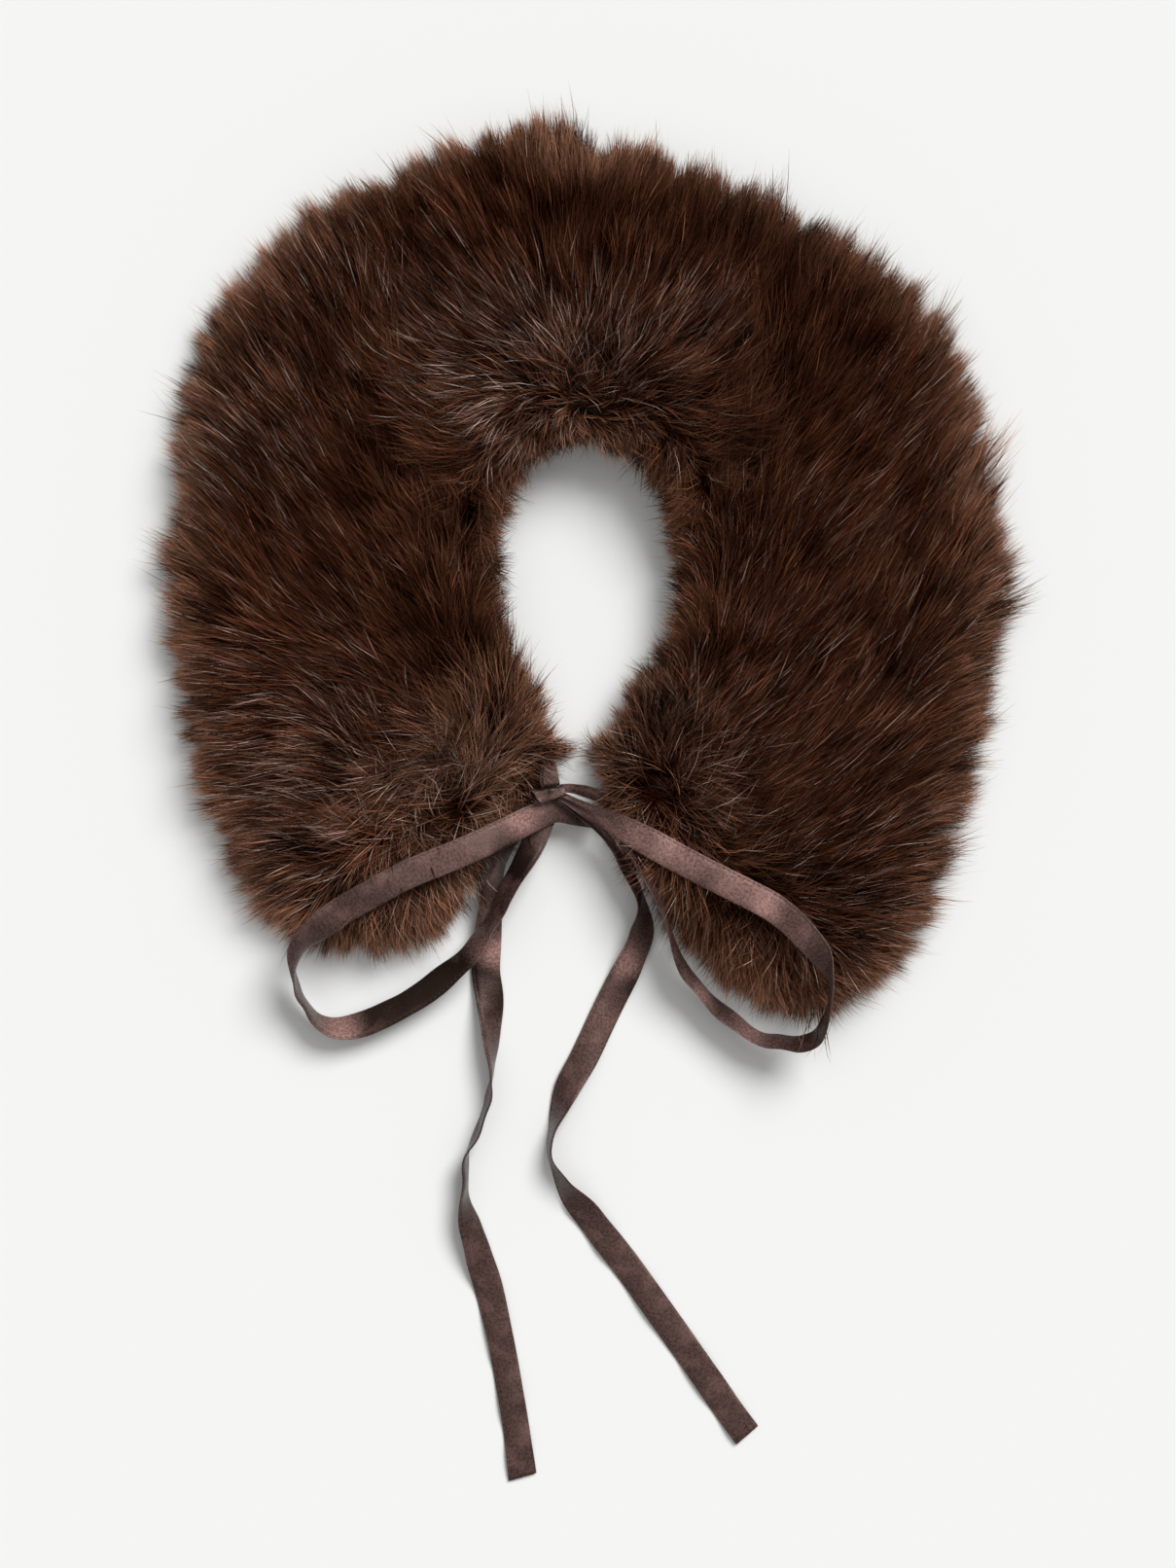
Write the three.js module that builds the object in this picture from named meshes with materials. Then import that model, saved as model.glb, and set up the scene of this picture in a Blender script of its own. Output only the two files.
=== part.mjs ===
// Fur collar wrap, laid flat and tied in a satin bow at the front.
// Millimetres. +Z is up from the surface it lies on, +Y points to the back of the neck,
// and the origin is the middle of the wrap's box on that surface.
import * as THREE from 'three';

// Driving dimensions
const NECK_CENTRE = new THREE.Vector2(0, 109);
const SEAM_GAP = 0.3;
const UNDER_THICKNESS = 3;
const UNDER_INSET = 14;
const UNDER_END_WIDTH = 14;
const UNDER_STEP = 14;
const EDGE_TURN = 5;
const BRIM_HEIGHT = 9;
const LOWEST_LIP = 10;
const LIP_UNDERCUT = 0.6;
const NECK_ROUNDING = 24;
const EDGE_ROUNDING = 36;
const TIE_THICKNESS = 1.2;

// The back of the neck stands up in a low hump.
const HUMP = { x: -4, y: 192, rise: 15, reach: 58 };

// Each half of the fur from the centre-back seam round to its front corner.
// bearing is in degrees anticlockwise from +X about the neck centre, neck and edge are the radii of
// the two outlines, crest is the height of the pile and lip that of the hair tips at the neck edge.
const LEFT_SECTIONS = [
  { bearing: 90.0, neck: 60, edge: 202, crest: 40, lip: 26 },
  { bearing: 97.0, neck: 60, edge: 222, crest: 40, lip: 26 },
  { bearing: 112.0, neck: 60, edge: 218, crest: 39, lip: 23 },
  { bearing: 130.0, neck: 55, edge: 221, crest: 38, lip: 18 },
  { bearing: 150.0, neck: 49, edge: 221, crest: 38, lip: 14 },
  { bearing: 170.0, neck: 46, edge: 207, crest: 38, lip: 12 },
  { bearing: 190.0, neck: 46, edge: 208, crest: 38, lip: 12 },
  { bearing: 210.0, neck: 49, edge: 219, crest: 37, lip: 12 },
  { bearing: 224.0, neck: 52, edge: 230, crest: 36, lip: 12 },
  { bearing: 233.0, neck: 54, edge: 230, crest: 35, lip: 12 },
  { bearing: 240.0, neck: 59, edge: 219, crest: 34, lip: 11 },
  { bearing: 245.9, neck: 64, edge: 195, crest: 33, lip: 11 },
  { bearing: 249.0, neck: 67, edge: 173, crest: 32, lip: 11 },
  { bearing: 250.2, neck: 69, edge: 150, crest: 32, lip: 10 },
  { bearing: 252.0, neck: 72, edge: 127, crest: 31, lip: 10 },
  { bearing: 255.4, neck: 77, edge: 108, crest: 30, lip: 10 },
  { bearing: 259.2, neck: 84, edge: 90, crest: 30, lip: 10 },
];
const RIGHT_SECTIONS = [
  { bearing: 90.0, neck: 60, edge: 202, crest: 40, lip: 26 },
  { bearing: 85.0, neck: 60, edge: 209, crest: 40, lip: 25 },
  { bearing: 70.0, neck: 57, edge: 201, crest: 39, lip: 21 },
  { bearing: 50.0, neck: 50, edge: 205, crest: 38, lip: 15 },
  { bearing: 30.0, neck: 44, edge: 208, crest: 38, lip: 12 },
  { bearing: 12.0, neck: 41, edge: 201, crest: 38, lip: 12 },
  { bearing: 0.0, neck: 41, edge: 207, crest: 38, lip: 12 },
  { bearing: -12.0, neck: 41, edge: 202, crest: 38, lip: 12 },
  { bearing: -24.0, neck: 44, edge: 209, crest: 38, lip: 12 },
  { bearing: -38.0, neck: 48, edge: 221, crest: 37, lip: 12 },
  { bearing: -49.1, neck: 52, edge: 242, crest: 36, lip: 12 },
  { bearing: -60.3, neck: 55, edge: 248, crest: 35, lip: 12 },
  { bearing: -67.1, neck: 58, edge: 235, crest: 34, lip: 11 },
  { bearing: -72.4, neck: 63, edge: 207, crest: 33, lip: 11 },
  { bearing: -76.4, neck: 67, edge: 178, crest: 33, lip: 11 },
  { bearing: -79.4, neck: 71, edge: 156, crest: 32, lip: 10 },
  { bearing: -82.6, neck: 76, edge: 138, crest: 31, lip: 10 },
  { bearing: -85.4, neck: 81, edge: 116, crest: 30, lip: 10 },
  { bearing: -88.0, neck: 85, edge: 91, crest: 30, lip: 10 },
];

// Locks of hair that stand out of the outlines, and the relief of the locks on top.
const OUTLINE_PLACES = 600;
const EDGE_STEP = 9.4;
const EDGE_TUFT = 5.5;
const NECK_TUFT = 3.5;
const NECK_TUFT_STATIONS = 5;
const SMALLEST_TUFT = 0.45;
const TUFT_FADE = 60;
const TUFT_FALL = 8;
const LOCK_RELIEF = 1.5;
const LOCK_WAVE = { along: 0.83, across: 0.7 };
const CROSS_WAVE = { along: -0.37, across: 1.1 };
const TOP_STEPS = 14;

// The satin ties, a row for each bend of the middle line: where it runs, how far the strip is turned
// up on its edge in degrees, and how wide it is there.
const LEFT_STUB = [
  { x: -14.2, y: 20.4, z: 11.8, tilt: -4, width: 5 },
  { x: -17.6, y: 14.0, z: 15.6, tilt: -2, width: 6.5 },
  { x: -19.4, y: 7.9, z: 19.0, tilt: 4, width: 8 },
];
const RIGHT_STUB = [
  { x: 6.0, y: -1.6, z: 10.0, tilt: 30, width: 5 },
  { x: -2.6, y: 2.2, z: 16.0, tilt: 40, width: 5 },
  { x: -10.5, y: 3.6, z: 21.0, tilt: 40, width: 5 },
];
const LEFT_LOOP = [
  { x: 2.0, y: -11.6, z: 9.0, tilt: 4, width: 8 },
  { x: -7.0, y: -9.2, z: 11.0, tilt: 2, width: 10 },
  { x: -17.0, y: -6.6, z: 14.8, tilt: 0, width: 12 },
  { x: -27.0, y: -9.8, z: 19.2, tilt: -6, width: 13 },
  { x: -45.4, y: -19.0, z: 31.0, tilt: -4, width: 14 },
  { x: -66.0, y: -28.2, z: 35.0, tilt: 0, width: 14 },
  { x: -88.6, y: -37.5, z: 36.6, tilt: -2, width: 14 },
  { x: -106.0, y: -46.8, z: 37.0, tilt: -4, width: 14 },
  { x: -121.0, y: -55.6, z: 36.0, tilt: -10, width: 14 },
  { x: -134.0, y: -65.0, z: 33.8, tilt: -30, width: 14 },
  { x: -141.3, y: -73.2, z: 29.5, tilt: -62, width: 14 },
  { x: -143.9, y: -82.0, z: 23.5, tilt: -80, width: 14 },
  { x: -143.2, y: -90.5, z: 18.0, tilt: -84, width: 14 },
  { x: -140.4, y: -99.8, z: 13.5, tilt: -86, width: 14 },
  { x: -134.2, y: -108.6, z: 11.0, tilt: -66, width: 14 },
  { x: -124.6, y: -112.6, z: 9.5, tilt: -44, width: 14 },
  { x: -111.9, y: -111.2, z: 8.5, tilt: -34, width: 14 },
  { x: -95.7, y: -104.5, z: 8.5, tilt: -30, width: 14 },
  { x: -79.1, y: -94.1, z: 9.5, tilt: -30, width: 14 },
  { x: -62.9, y: -81.2, z: 12.0, tilt: -40, width: 14 },
  { x: -51.6, y: -67.6, z: 15.0, tilt: -56, width: 14 },
  { x: -41.6, y: -49.0, z: 17.5, tilt: -58, width: 14 },
  { x: -33.6, y: -34.0, z: 17.0, tilt: -36, width: 13 },
  { x: -26.0, y: -19.5, z: 13.6, tilt: -12, width: 11 },
  { x: -21.6, y: -10.6, z: 11.4, tilt: 0, width: 9 },
];
const LEFT_TAIL = [
  { x: -31.6, y: -14.4, z: 8.6, tilt: -4, width: 7 },
  { x: -38.6, y: -20.0, z: 8.8, tilt: -20, width: 8 },
  { x: -43.8, y: -27.6, z: 10.0, tilt: -50, width: 10 },
  { x: -46.6, y: -37.6, z: 10.0, tilt: -46, width: 12 },
  { x: -48.8, y: -50.0, z: 7.8, tilt: -34, width: 13.5 },
  { x: -50.4, y: -67.0, z: 3.9, tilt: -16, width: 14 },
  { x: -51.3, y: -85.0, z: 0.8, tilt: 0, width: 14 },
  { x: -49.6, y: -98.0, z: 2.5, tilt: -12, width: 14 },
  { x: -49.0, y: -112.0, z: 5.7, tilt: -46, width: 14 },
  { x: -49.4, y: -126.0, z: 7.1, tilt: -74, width: 14 },
  { x: -49.8, y: -137.8, z: 7.3, tilt: -88, width: 14 },
  { x: -50.6, y: -148.0, z: 7.2, tilt: -103, width: 14 },
  { x: -56.4, y: -162.5, z: 7.2, tilt: -102, width: 14 },
  { x: -61.0, y: -175.6, z: 7.3, tilt: -84, width: 14 },
  { x: -62.3, y: -186.0, z: 7.3, tilt: -82, width: 14 },
  { x: -61.8, y: -197.0, z: 7.0, tilt: -68, width: 14 },
  { x: -59.6, y: -209.0, z: 5.7, tilt: -46, width: 14 },
  { x: -55.2, y: -223.0, z: 3.5, tilt: -20, width: 14 },
  { x: -49.6, y: -241.0, z: 1.0, tilt: 0, width: 14 },
  { x: -44.4, y: -263.6, z: 1.0, tilt: 0, width: 13 },
  { x: -40.1, y: -286.4, z: 1.1, tilt: 2, width: 13 },
  { x: -36.3, y: -309.7, z: 0.8, tilt: 0, width: 13 },
  { x: -33.4, y: -332.0, z: 0.8, tilt: 0, width: 14 },
];
const RIGHT_LOOP = [
  { x: -10.2, y: -1.8, z: 19.0, tilt: 16, width: 5 },
  { x: -3.0, y: -5.8, z: 21.0, tilt: 14, width: 7 },
  { x: 6.0, y: -10.0, z: 25.0, tilt: 8, width: 9 },
  { x: 17.0, y: -15.8, z: 29.5, tilt: 4, width: 12 },
  { x: 28.0, y: -21.8, z: 32.0, tilt: 2, width: 14 },
  { x: 46.3, y: -31.8, z: 34.8, tilt: 0, width: 14 },
  { x: 68.6, y: -43.2, z: 36.5, tilt: 0, width: 14 },
  { x: 88.0, y: -53.5, z: 37.4, tilt: 2, width: 14 },
  { x: 101.4, y: -65.0, z: 40.5, tilt: 16, width: 14 },
  { x: 110.0, y: -75.5, z: 42.0, tilt: 44, width: 14 },
  { x: 113.8, y: -86.6, z: 43.0, tilt: 76, width: 14 },
  { x: 114.9, y: -97.4, z: 40.5, tilt: 84, width: 14 },
  { x: 113.4, y: -108.3, z: 35.0, tilt: 80, width: 14 },
  { x: 109.0, y: -115.8, z: 28.0, tilt: 66, width: 14 },
  { x: 101.4, y: -119.4, z: 22.0, tilt: 58, width: 14 },
  { x: 91.4, y: -119.6, z: 17.5, tilt: 64, width: 14 },
  { x: 83.4, y: -118.2, z: 15.0, tilt: 66, width: 14 },
  { x: 75.0, y: -114.0, z: 13.5, tilt: 60, width: 14 },
  { x: 66.7, y: -108.0, z: 12.5, tilt: 60, width: 14 },
  { x: 58.4, y: -100.4, z: 12.5, tilt: 62, width: 14 },
  { x: 51.0, y: -92.8, z: 14.0, tilt: 64, width: 14 },
  { x: 44.6, y: -84.6, z: 17.0, tilt: 72, width: 14 },
  { x: 39.6, y: -72.0, z: 20.5, tilt: 76, width: 14 },
  { x: 35.0, y: -59.0, z: 24.0, tilt: 76, width: 13 },
  { x: 29.4, y: -45.0, z: 26.5, tilt: 72, width: 11 },
  { x: 22.6, y: -31.6, z: 25.8, tilt: 60, width: 7 },
  { x: 15.0, y: -22.0, z: 22.8, tilt: 40, width: 5.5 },
];
const RIGHT_TAIL = [
  { x: -10.6, y: -4.4, z: 17.2, tilt: -30, width: 5 },
  { x: -4.4, y: -9.6, z: 16.6, tilt: -34, width: 5 },
  { x: 2.6, y: -15.6, z: 16.4, tilt: -42, width: 6 },
  { x: 9.4, y: -23.4, z: 16.0, tilt: -54, width: 8 },
  { x: 15.8, y: -34.0, z: 15.0, tilt: -66, width: 10 },
  { x: 21.2, y: -45.0, z: 13.0, tilt: -72, width: 12 },
  { x: 24.6, y: -56.0, z: 10.4, tilt: -58, width: 14 },
  { x: 23.8, y: -67.8, z: 6.8, tilt: -34, width: 14 },
  { x: 18.6, y: -81.6, z: 3.6, tilt: -14, width: 14 },
  { x: 11.2, y: -96.8, z: 0.9, tilt: 0, width: 14 },
  { x: 3.6, y: -112.6, z: 1.0, tilt: 0, width: 14 },
  { x: -3.6, y: -128.0, z: 1.8, tilt: 8, width: 14 },
  { x: -11.0, y: -142.0, z: 4.5, tilt: 32, width: 14 },
  { x: -16.8, y: -157.0, z: 6.7, tilt: 62, width: 14 },
  { x: -18.9, y: -169.0, z: 7.2, tilt: 80, width: 14 },
  { x: -18.4, y: -177.0, z: 7.3, tilt: 86, width: 14 },
  { x: -14.6, y: -186.0, z: 6.7, tilt: 62, width: 14 },
  { x: -8.0, y: -195.4, z: 4.7, tilt: 34, width: 14 },
  { x: 0.4, y: -206.6, z: 2.3, tilt: 12, width: 14 },
  { x: 9.8, y: -219.0, z: 0.8, tilt: 0, width: 14 },
  { x: 19.2, y: -231.2, z: 0.8, tilt: 0, width: 14 },
  { x: 35.9, y: -254.6, z: 0.8, tilt: 0, width: 14 },
  { x: 54.2, y: -280.4, z: 1.1, tilt: 2, width: 14 },
  { x: 66.0, y: -297.6, z: 0.8, tilt: 0, width: 14 },
  { x: 76.2, y: -311.6, z: 0.8, tilt: 0, width: 14 },
];
const LEFT_FOLD_ROW = 11;
const RIGHT_FOLD_ROW = 10;
const FOLD_GAP = 0.04;
const STRIP_STEPS_PER_ROW = 2;

// The knot: one turn of the strip, drawn tight over the two loops.
const KNOT = { x: -19.6, y: 1.6, z: 21.4, length: 17, width: 9, height: 7, turn: 18 };
const KNOT_SQUARENESS = 0.72;
const KNOT_AROUND = 20;
const KNOT_RINGS = 12;

const furMaterial = new THREE.MeshStandardMaterial({ color: '#4a2c1d', roughness: 0.85, metalness: 0 });
const underMaterial = new THREE.MeshStandardMaterial({ color: '#3c2418', roughness: 0.95, metalness: 0 });
const satinMaterial = new THREE.MeshStandardMaterial({ color: '#4b3730', roughness: 0.38, metalness: 0 });

const collar = new THREE.Group();

// A closed solid from a row of rings with the same number of points, each end filled from its middle.
function solidFromRings(rings) {
  const around = rings[0].length;
  const points = rings.flat();
  const faces = [];
  for (let i = 0; i < rings.length - 1; i += 1) {
    for (let j = 0; j < around; j += 1) {
      const a = i * around + j;
      const b = i * around + ((j + 1) % around);
      faces.push([a, b, b + around], [a, b + around, a + around]);
    }
  }
  const ends = [0, rings.length - 1];
  for (const end of ends) {
    const middle = new THREE.Vector3();
    rings[end].forEach((point) => middle.addScaledVector(point, 1 / around));
    const centre = points.push(middle) - 1;
    for (let j = 0; j < around; j += 1) {
      const a = end * around + j;
      const b = end * around + ((j + 1) % around);
      faces.push(end === 0 ? [centre, b, a] : [centre, a, b]);
    }
  }
  let volume = 0;
  for (const [a, b, c] of faces) {
    volume += points[a].dot(new THREE.Vector3().crossVectors(points[b], points[c]));
  }
  if (volume < 0) {
    faces.forEach((face) => face.reverse());
  }
  const geometry = new THREE.BufferGeometry().setFromPoints(points);
  geometry.setIndex(faces.flat());
  geometry.computeVertexNormals();
  return geometry;
}

function addPiece(name, geometry, material) {
  const mesh = new THREE.Mesh(geometry, material);
  mesh.name = name;
  collar.add(mesh);
}

// A number between 0 and 1 that differs from one lock to the next and is the same in every run.
function lockVariation(index, salt) {
  const wave = Math.sin(index * 12.9898 + salt * 78.233) * 43758.5453;
  return wave - Math.floor(wave);
}

// One column of a table of sections at any place along it, on a smooth curve through the rows.
// place counts rows, so 2.5 is halfway from the third row to the fourth.
function columnAt(rows, key, place) {
  const last = rows.length - 1;
  const i = Math.min(Math.floor(place), last - 1);
  const t = place - i;
  const before = rows[Math.max(i - 1, 0)][key];
  const after = rows[Math.min(i + 2, last)][key];
  const from = rows[i][key];
  const to = rows[i + 1][key];
  const slopeFrom = (to - before) / 2;
  const slopeTo = (after - from) / 2;
  const t2 = t * t;
  const t3 = t2 * t;
  return from * (2 * t3 - 3 * t2 + 1) + slopeFrom * (t3 - 2 * t2 + t)
    + to * (3 * t2 - 2 * t3) + slopeTo * (t3 - t2);
}

function planPoint(bearing, radius) {
  const angle = THREE.MathUtils.degToRad(bearing);
  return new THREE.Vector2(Math.cos(angle), Math.sin(angle)).multiplyScalar(radius).add(NECK_CENTRE);
}

// Places along a table so that its outer outline is cut into equal steps of about the given length.
function equalPlaces(rows, step) {
  const lengths = [0];
  let previous = planPoint(rows[0].bearing, rows[0].edge);
  for (let k = 1; k <= OUTLINE_PLACES; k += 1) {
    const place = (k / OUTLINE_PLACES) * (rows.length - 1);
    const point = planPoint(columnAt(rows, 'bearing', place), columnAt(rows, 'edge', place));
    lengths.push(lengths[k - 1] + point.distanceTo(previous));
    previous = point;
  }
  const whole = lengths[OUTLINE_PLACES];
  const count = Math.round(whole / step);
  return Array.from({ length: count + 1 }, (_, i) => {
    const target = (i / count) * whole;
    const k = lengths.findIndex((length) => length >= target - 1e-9);
    return (k / OUTLINE_PLACES) * (rows.length - 1);
  });
}

// The shortest distance from a point to an open line of points, all in plan.
function distanceToLine(point, line) {
  let shortest = Infinity;
  for (let i = 0; i < line.length - 1; i += 1) {
    const along = line[i + 1].clone().sub(line[i]);
    const offset = point.clone().sub(line[i]);
    const share = THREE.MathUtils.clamp(offset.dot(along) / Math.max(along.lengthSq(), 1e-9), 0, 1);
    shortest = Math.min(shortest, offset.addScaledVector(along, -share).length());
  }
  return shortest;
}

// A quarter-round rise from 0 at an edge to 1 at the given distance inside it.
function quarterRound(distance, reach) {
  const q = Math.min(distance / reach, 1);
  return Math.sqrt(1 - (1 - q) * (1 - q));
}

function humpRise(point) {
  const away = Math.hypot(point.x - HUMP.x, point.y - HUMP.y) / HUMP.reach;
  return HUMP.rise * Math.exp(-away * away);
}

// A lock's share of the full tuft, and a wave over the top of the fur.
function tuftShare(index, salt) {
  return SMALLEST_TUFT + (1 - SMALLEST_TUFT) * lockVariation(index, salt);
}

function waveAt(wave, along, across) {
  return Math.sin(along * wave.along + across * wave.across);
}

// One half of the fur: cloth and pile in one thick wall that lies on the under collar, rounded down
// to its edges, with pointed locks standing out of both outlines.
function furHalf(rows, shift) {
  const stations = equalPlaces(rows, EDGE_STEP).map((place) => ({
    bearing: columnAt(rows, 'bearing', place),
    neck: columnAt(rows, 'neck', place),
    edge: columnAt(rows, 'edge', place),
    crest: columnAt(rows, 'crest', place),
    lip: columnAt(rows, 'lip', place),
  }));
  const outerLine = stations.map((station) => planPoint(station.bearing, station.edge));
  const neckLine = stations.map((station) => planPoint(station.bearing, station.neck));
  const last = stations.length - 1;
  const underside = UNDER_THICKNESS + SEAM_GAP;

  const rings = stations.map((station, i) => {
    const isEnd = i === 0 || i === last;
    const span = station.edge - station.neck;
    const room = Math.min(1, span / (2 * UNDER_INSET));
    const tuftRoom = THREE.MathUtils.clamp((span - 2 * UNDER_INSET) / TUFT_FADE, 0, 1);
    const inOrOut = (i % 2) * 2 - 1;
    const edgeTuft = isEnd ? 0 : inOrOut * EDGE_TUFT * tuftShare(i, 1) * tuftRoom;
    const zigzag = Math.abs(((i / NECK_TUFT_STATIONS) % 1) * 2 - 1) * 2 - 1;
    const neckTuft = isEnd ? 0 : zigzag * NECK_TUFT * tuftShare(i, 2) * room;
    const ring = [];
    for (let k = 0; k <= TOP_STEPS; k += 1) {
      const t = 0.5 - 0.5 * Math.cos((Math.PI * k) / TOP_STEPS);
      const tuft = neckTuft * (1 - t) ** TUFT_FALL + edgeTuft * t ** TUFT_FALL;
      const smoothPlan = planPoint(station.bearing, station.neck + span * t);
      const plan = planPoint(station.bearing, station.neck + span * t + tuft);
      const neckDistance = k === 0 ? 0 : distanceToLine(smoothPlan, neckLine);
      const edgeDistance = k === TOP_STEPS ? 0 : distanceToLine(smoothPlan, outerLine);
      const fromNeck = quarterRound(neckDistance, NECK_ROUNDING);
      const fromEdge = quarterRound(edgeDistance, EDGE_ROUNDING);
      const crest = station.crest + humpRise(plan);
      const inner = station.lip + (crest - station.lip) * fromNeck;
      const outer = BRIM_HEIGHT + (crest - BRIM_HEIGHT) * fromEdge;
      const lock = waveAt(LOCK_WAVE, i, k) * waveAt(CROSS_WAVE, i, k);
      const relief = LOCK_RELIEF * lock * Math.min(fromNeck, fromEdge) ** 2;
      ring.push(new THREE.Vector3(plan.x + shift, plan.y, Math.min(inner, outer) + relief));
    }
    const undercut = (station.lip - LOWEST_LIP) * LIP_UNDERCUT * room;
    const underRows = [
      { inset: EDGE_TURN * room, z: underside },
      { inset: UNDER_INSET * room, z: underside },
      { inset: span - UNDER_INSET * room, z: underside },
      { inset: span - EDGE_TURN * room, z: underside + undercut },
    ];
    for (const row of underRows) {
      const plan = planPoint(station.bearing, station.edge - row.inset);
      ring.push(new THREE.Vector3(plan.x + shift, plan.y, row.z));
    }
    return ring;
  });
  return solidFromRings(rings);
}

// A line of plan points moved sideways by a distance, each square to the line beside it.
function movedSideways(line, distance) {
  return line.map((point, i) => {
    const before = line[Math.max(i - 1, 0)];
    const after = line[Math.min(i + 1, line.length - 1)];
    const along = after.clone().sub(before).normalize();
    return new THREE.Vector2(-along.y, along.x).multiplyScalar(distance).add(point);
  });
}

// The under collar: a flat layer of the same cloth on the same plan, drawn in from both outlines.
function underCollar() {
  const neckSide = [];
  const outerSide = [];
  const halves = [
    { rows: RIGHT_SECTIONS, turn: -1 },
    { rows: LEFT_SECTIONS, turn: 1 },
  ];
  for (const { rows, turn } of halves) {
    const places = equalPlaces(rows, UNDER_STEP);
    const lineOf = (key) => places.map((place) => (
      planPoint(columnAt(rows, 'bearing', place), columnAt(rows, key, place))
    ));
    const outer = movedSideways(lineOf('edge'), UNDER_INSET * turn);
    const neck = movedSideways(lineOf('neck'), -UNDER_INSET * turn);
    const wide = outer.map((point, i) => point.distanceTo(neck[i]) > UNDER_END_WIDTH);
    const end = wide.includes(false) ? wide.indexOf(false) : places.length;
    const half = { outer: outer.slice(0, end), neck: neck.slice(0, end) };
    if (turn < 0) {
      half.outer.reverse();
      half.neck.reverse();
    } else {
      half.outer.shift();
      half.neck.shift();
    }
    outerSide.push(...half.outer);
    neckSide.push(...half.neck);
  }
  const outline = new THREE.Shape([...outerSide, ...neckSide.reverse()]);
  return new THREE.ExtrudeGeometry(outline, { depth: UNDER_THICKNESS, bevelEnabled: false });
}

// A stretch of satin tie: two thin layers pressed flat, carried along its middle line and turned up
// on its edge by the tilt of each row. It runs from one place in the table to another.
function strip(rows, from = 0, to = rows.length - 1) {
  const line = new THREE.CatmullRomCurve3(rows.map((row) => new THREE.Vector3(row.x, row.y, row.z)));
  const steps = Math.round((to - from) * STRIP_STEPS_PER_ROW);
  const up = new THREE.Vector3(0, 0, 1);
  const bevel = TIE_THICKNESS / 2;
  const rings = [];
  for (let i = 0; i <= steps; i += 1) {
    const place = from + ((to - from) * i) / steps;
    const share = place / (rows.length - 1);
    const centre = line.getPoint(share);
    const forward = line.getTangent(share);
    const flatSide = new THREE.Vector3().crossVectors(up, forward).normalize();
    const tilt = THREE.MathUtils.degToRad(columnAt(rows, 'tilt', place));
    const side = flatSide.applyAxisAngle(forward, tilt);
    const face = new THREE.Vector3().crossVectors(forward, side);
    const half = columnAt(rows, 'width', place) / 2;
    const corners = [
      { across: -half, out: 0 },
      { across: bevel - half, out: -bevel },
      { across: half - bevel, out: -bevel },
      { across: half, out: 0 },
      { across: half - bevel, out: bevel },
      { across: bevel - half, out: bevel },
    ];
    rings.push(corners.map(({ across, out }) => (
      centre.clone().addScaledVector(side, across).addScaledVector(face, out)
    )));
  }
  return solidFromRings(rings);
}

// The knot's turn of strip, rounded at its ends and flattened above and below.
function knot() {
  const turn = THREE.MathUtils.degToRad(KNOT.turn);
  const geometry = new THREE.SphereGeometry(1, KNOT_AROUND, KNOT_RINGS);
  geometry.deleteAttribute('normal');
  geometry.deleteAttribute('uv');
  const position = geometry.getAttribute('position');
  for (let i = 0; i < position.count; i += 1) {
    const point = new THREE.Vector3().fromBufferAttribute(position, i);
    const squared = point.toArray().map((value) => Math.sign(value) * Math.abs(value) ** KNOT_SQUARENESS);
    point.set(squared[0] * KNOT.length, squared[1] * KNOT.width, squared[2] * KNOT.height);
    point.multiplyScalar(0.5).applyAxisAngle(new THREE.Vector3(0, 0, 1), turn);
    position.setXYZ(i, point.x + KNOT.x, point.y + KNOT.y, point.z + KNOT.z);
  }
  return geometry;
}

addPiece('under_fur_panel', underCollar(), underMaterial);
addPiece('left_upper_fur', furHalf(LEFT_SECTIONS, -SEAM_GAP / 2), furMaterial);
addPiece('right_upper_fur', furHalf(RIGHT_SECTIONS, SEAM_GAP / 2), furMaterial);

const stretches = [
  { name: 'left_tie_stub', rows: LEFT_STUB },
  { name: 'right_tie_stub', rows: RIGHT_STUB },
  { name: 'left_loop_top', rows: LEFT_LOOP, to: LEFT_FOLD_ROW },
  { name: 'left_loop_under', rows: LEFT_LOOP, from: LEFT_FOLD_ROW + FOLD_GAP },
  { name: 'left_tail', rows: LEFT_TAIL },
  { name: 'right_loop_top', rows: RIGHT_LOOP, to: RIGHT_FOLD_ROW },
  { name: 'right_loop_under', rows: RIGHT_LOOP, from: RIGHT_FOLD_ROW + FOLD_GAP },
  { name: 'right_tail', rows: RIGHT_TAIL },
];
for (const { name, rows, from, to } of stretches) {
  addPiece(name, strip(rows, from, to), satinMaterial);
}
addPiece('bow_knot', knot(), satinMaterial);

// The origin goes to the middle of the box.
const box = new THREE.Box3().setFromObject(collar);
const middle = box.getCenter(new THREE.Vector3());
collar.position.set(-middle.x, -middle.y, -box.min.z);

export default collar;
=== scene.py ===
# A tie-on collar of long dark brown fur cloth, laid flat, with its satin ties in a bow.
# Metres, +Z up from the table, +Y towards the back of the neck.
import math

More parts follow.
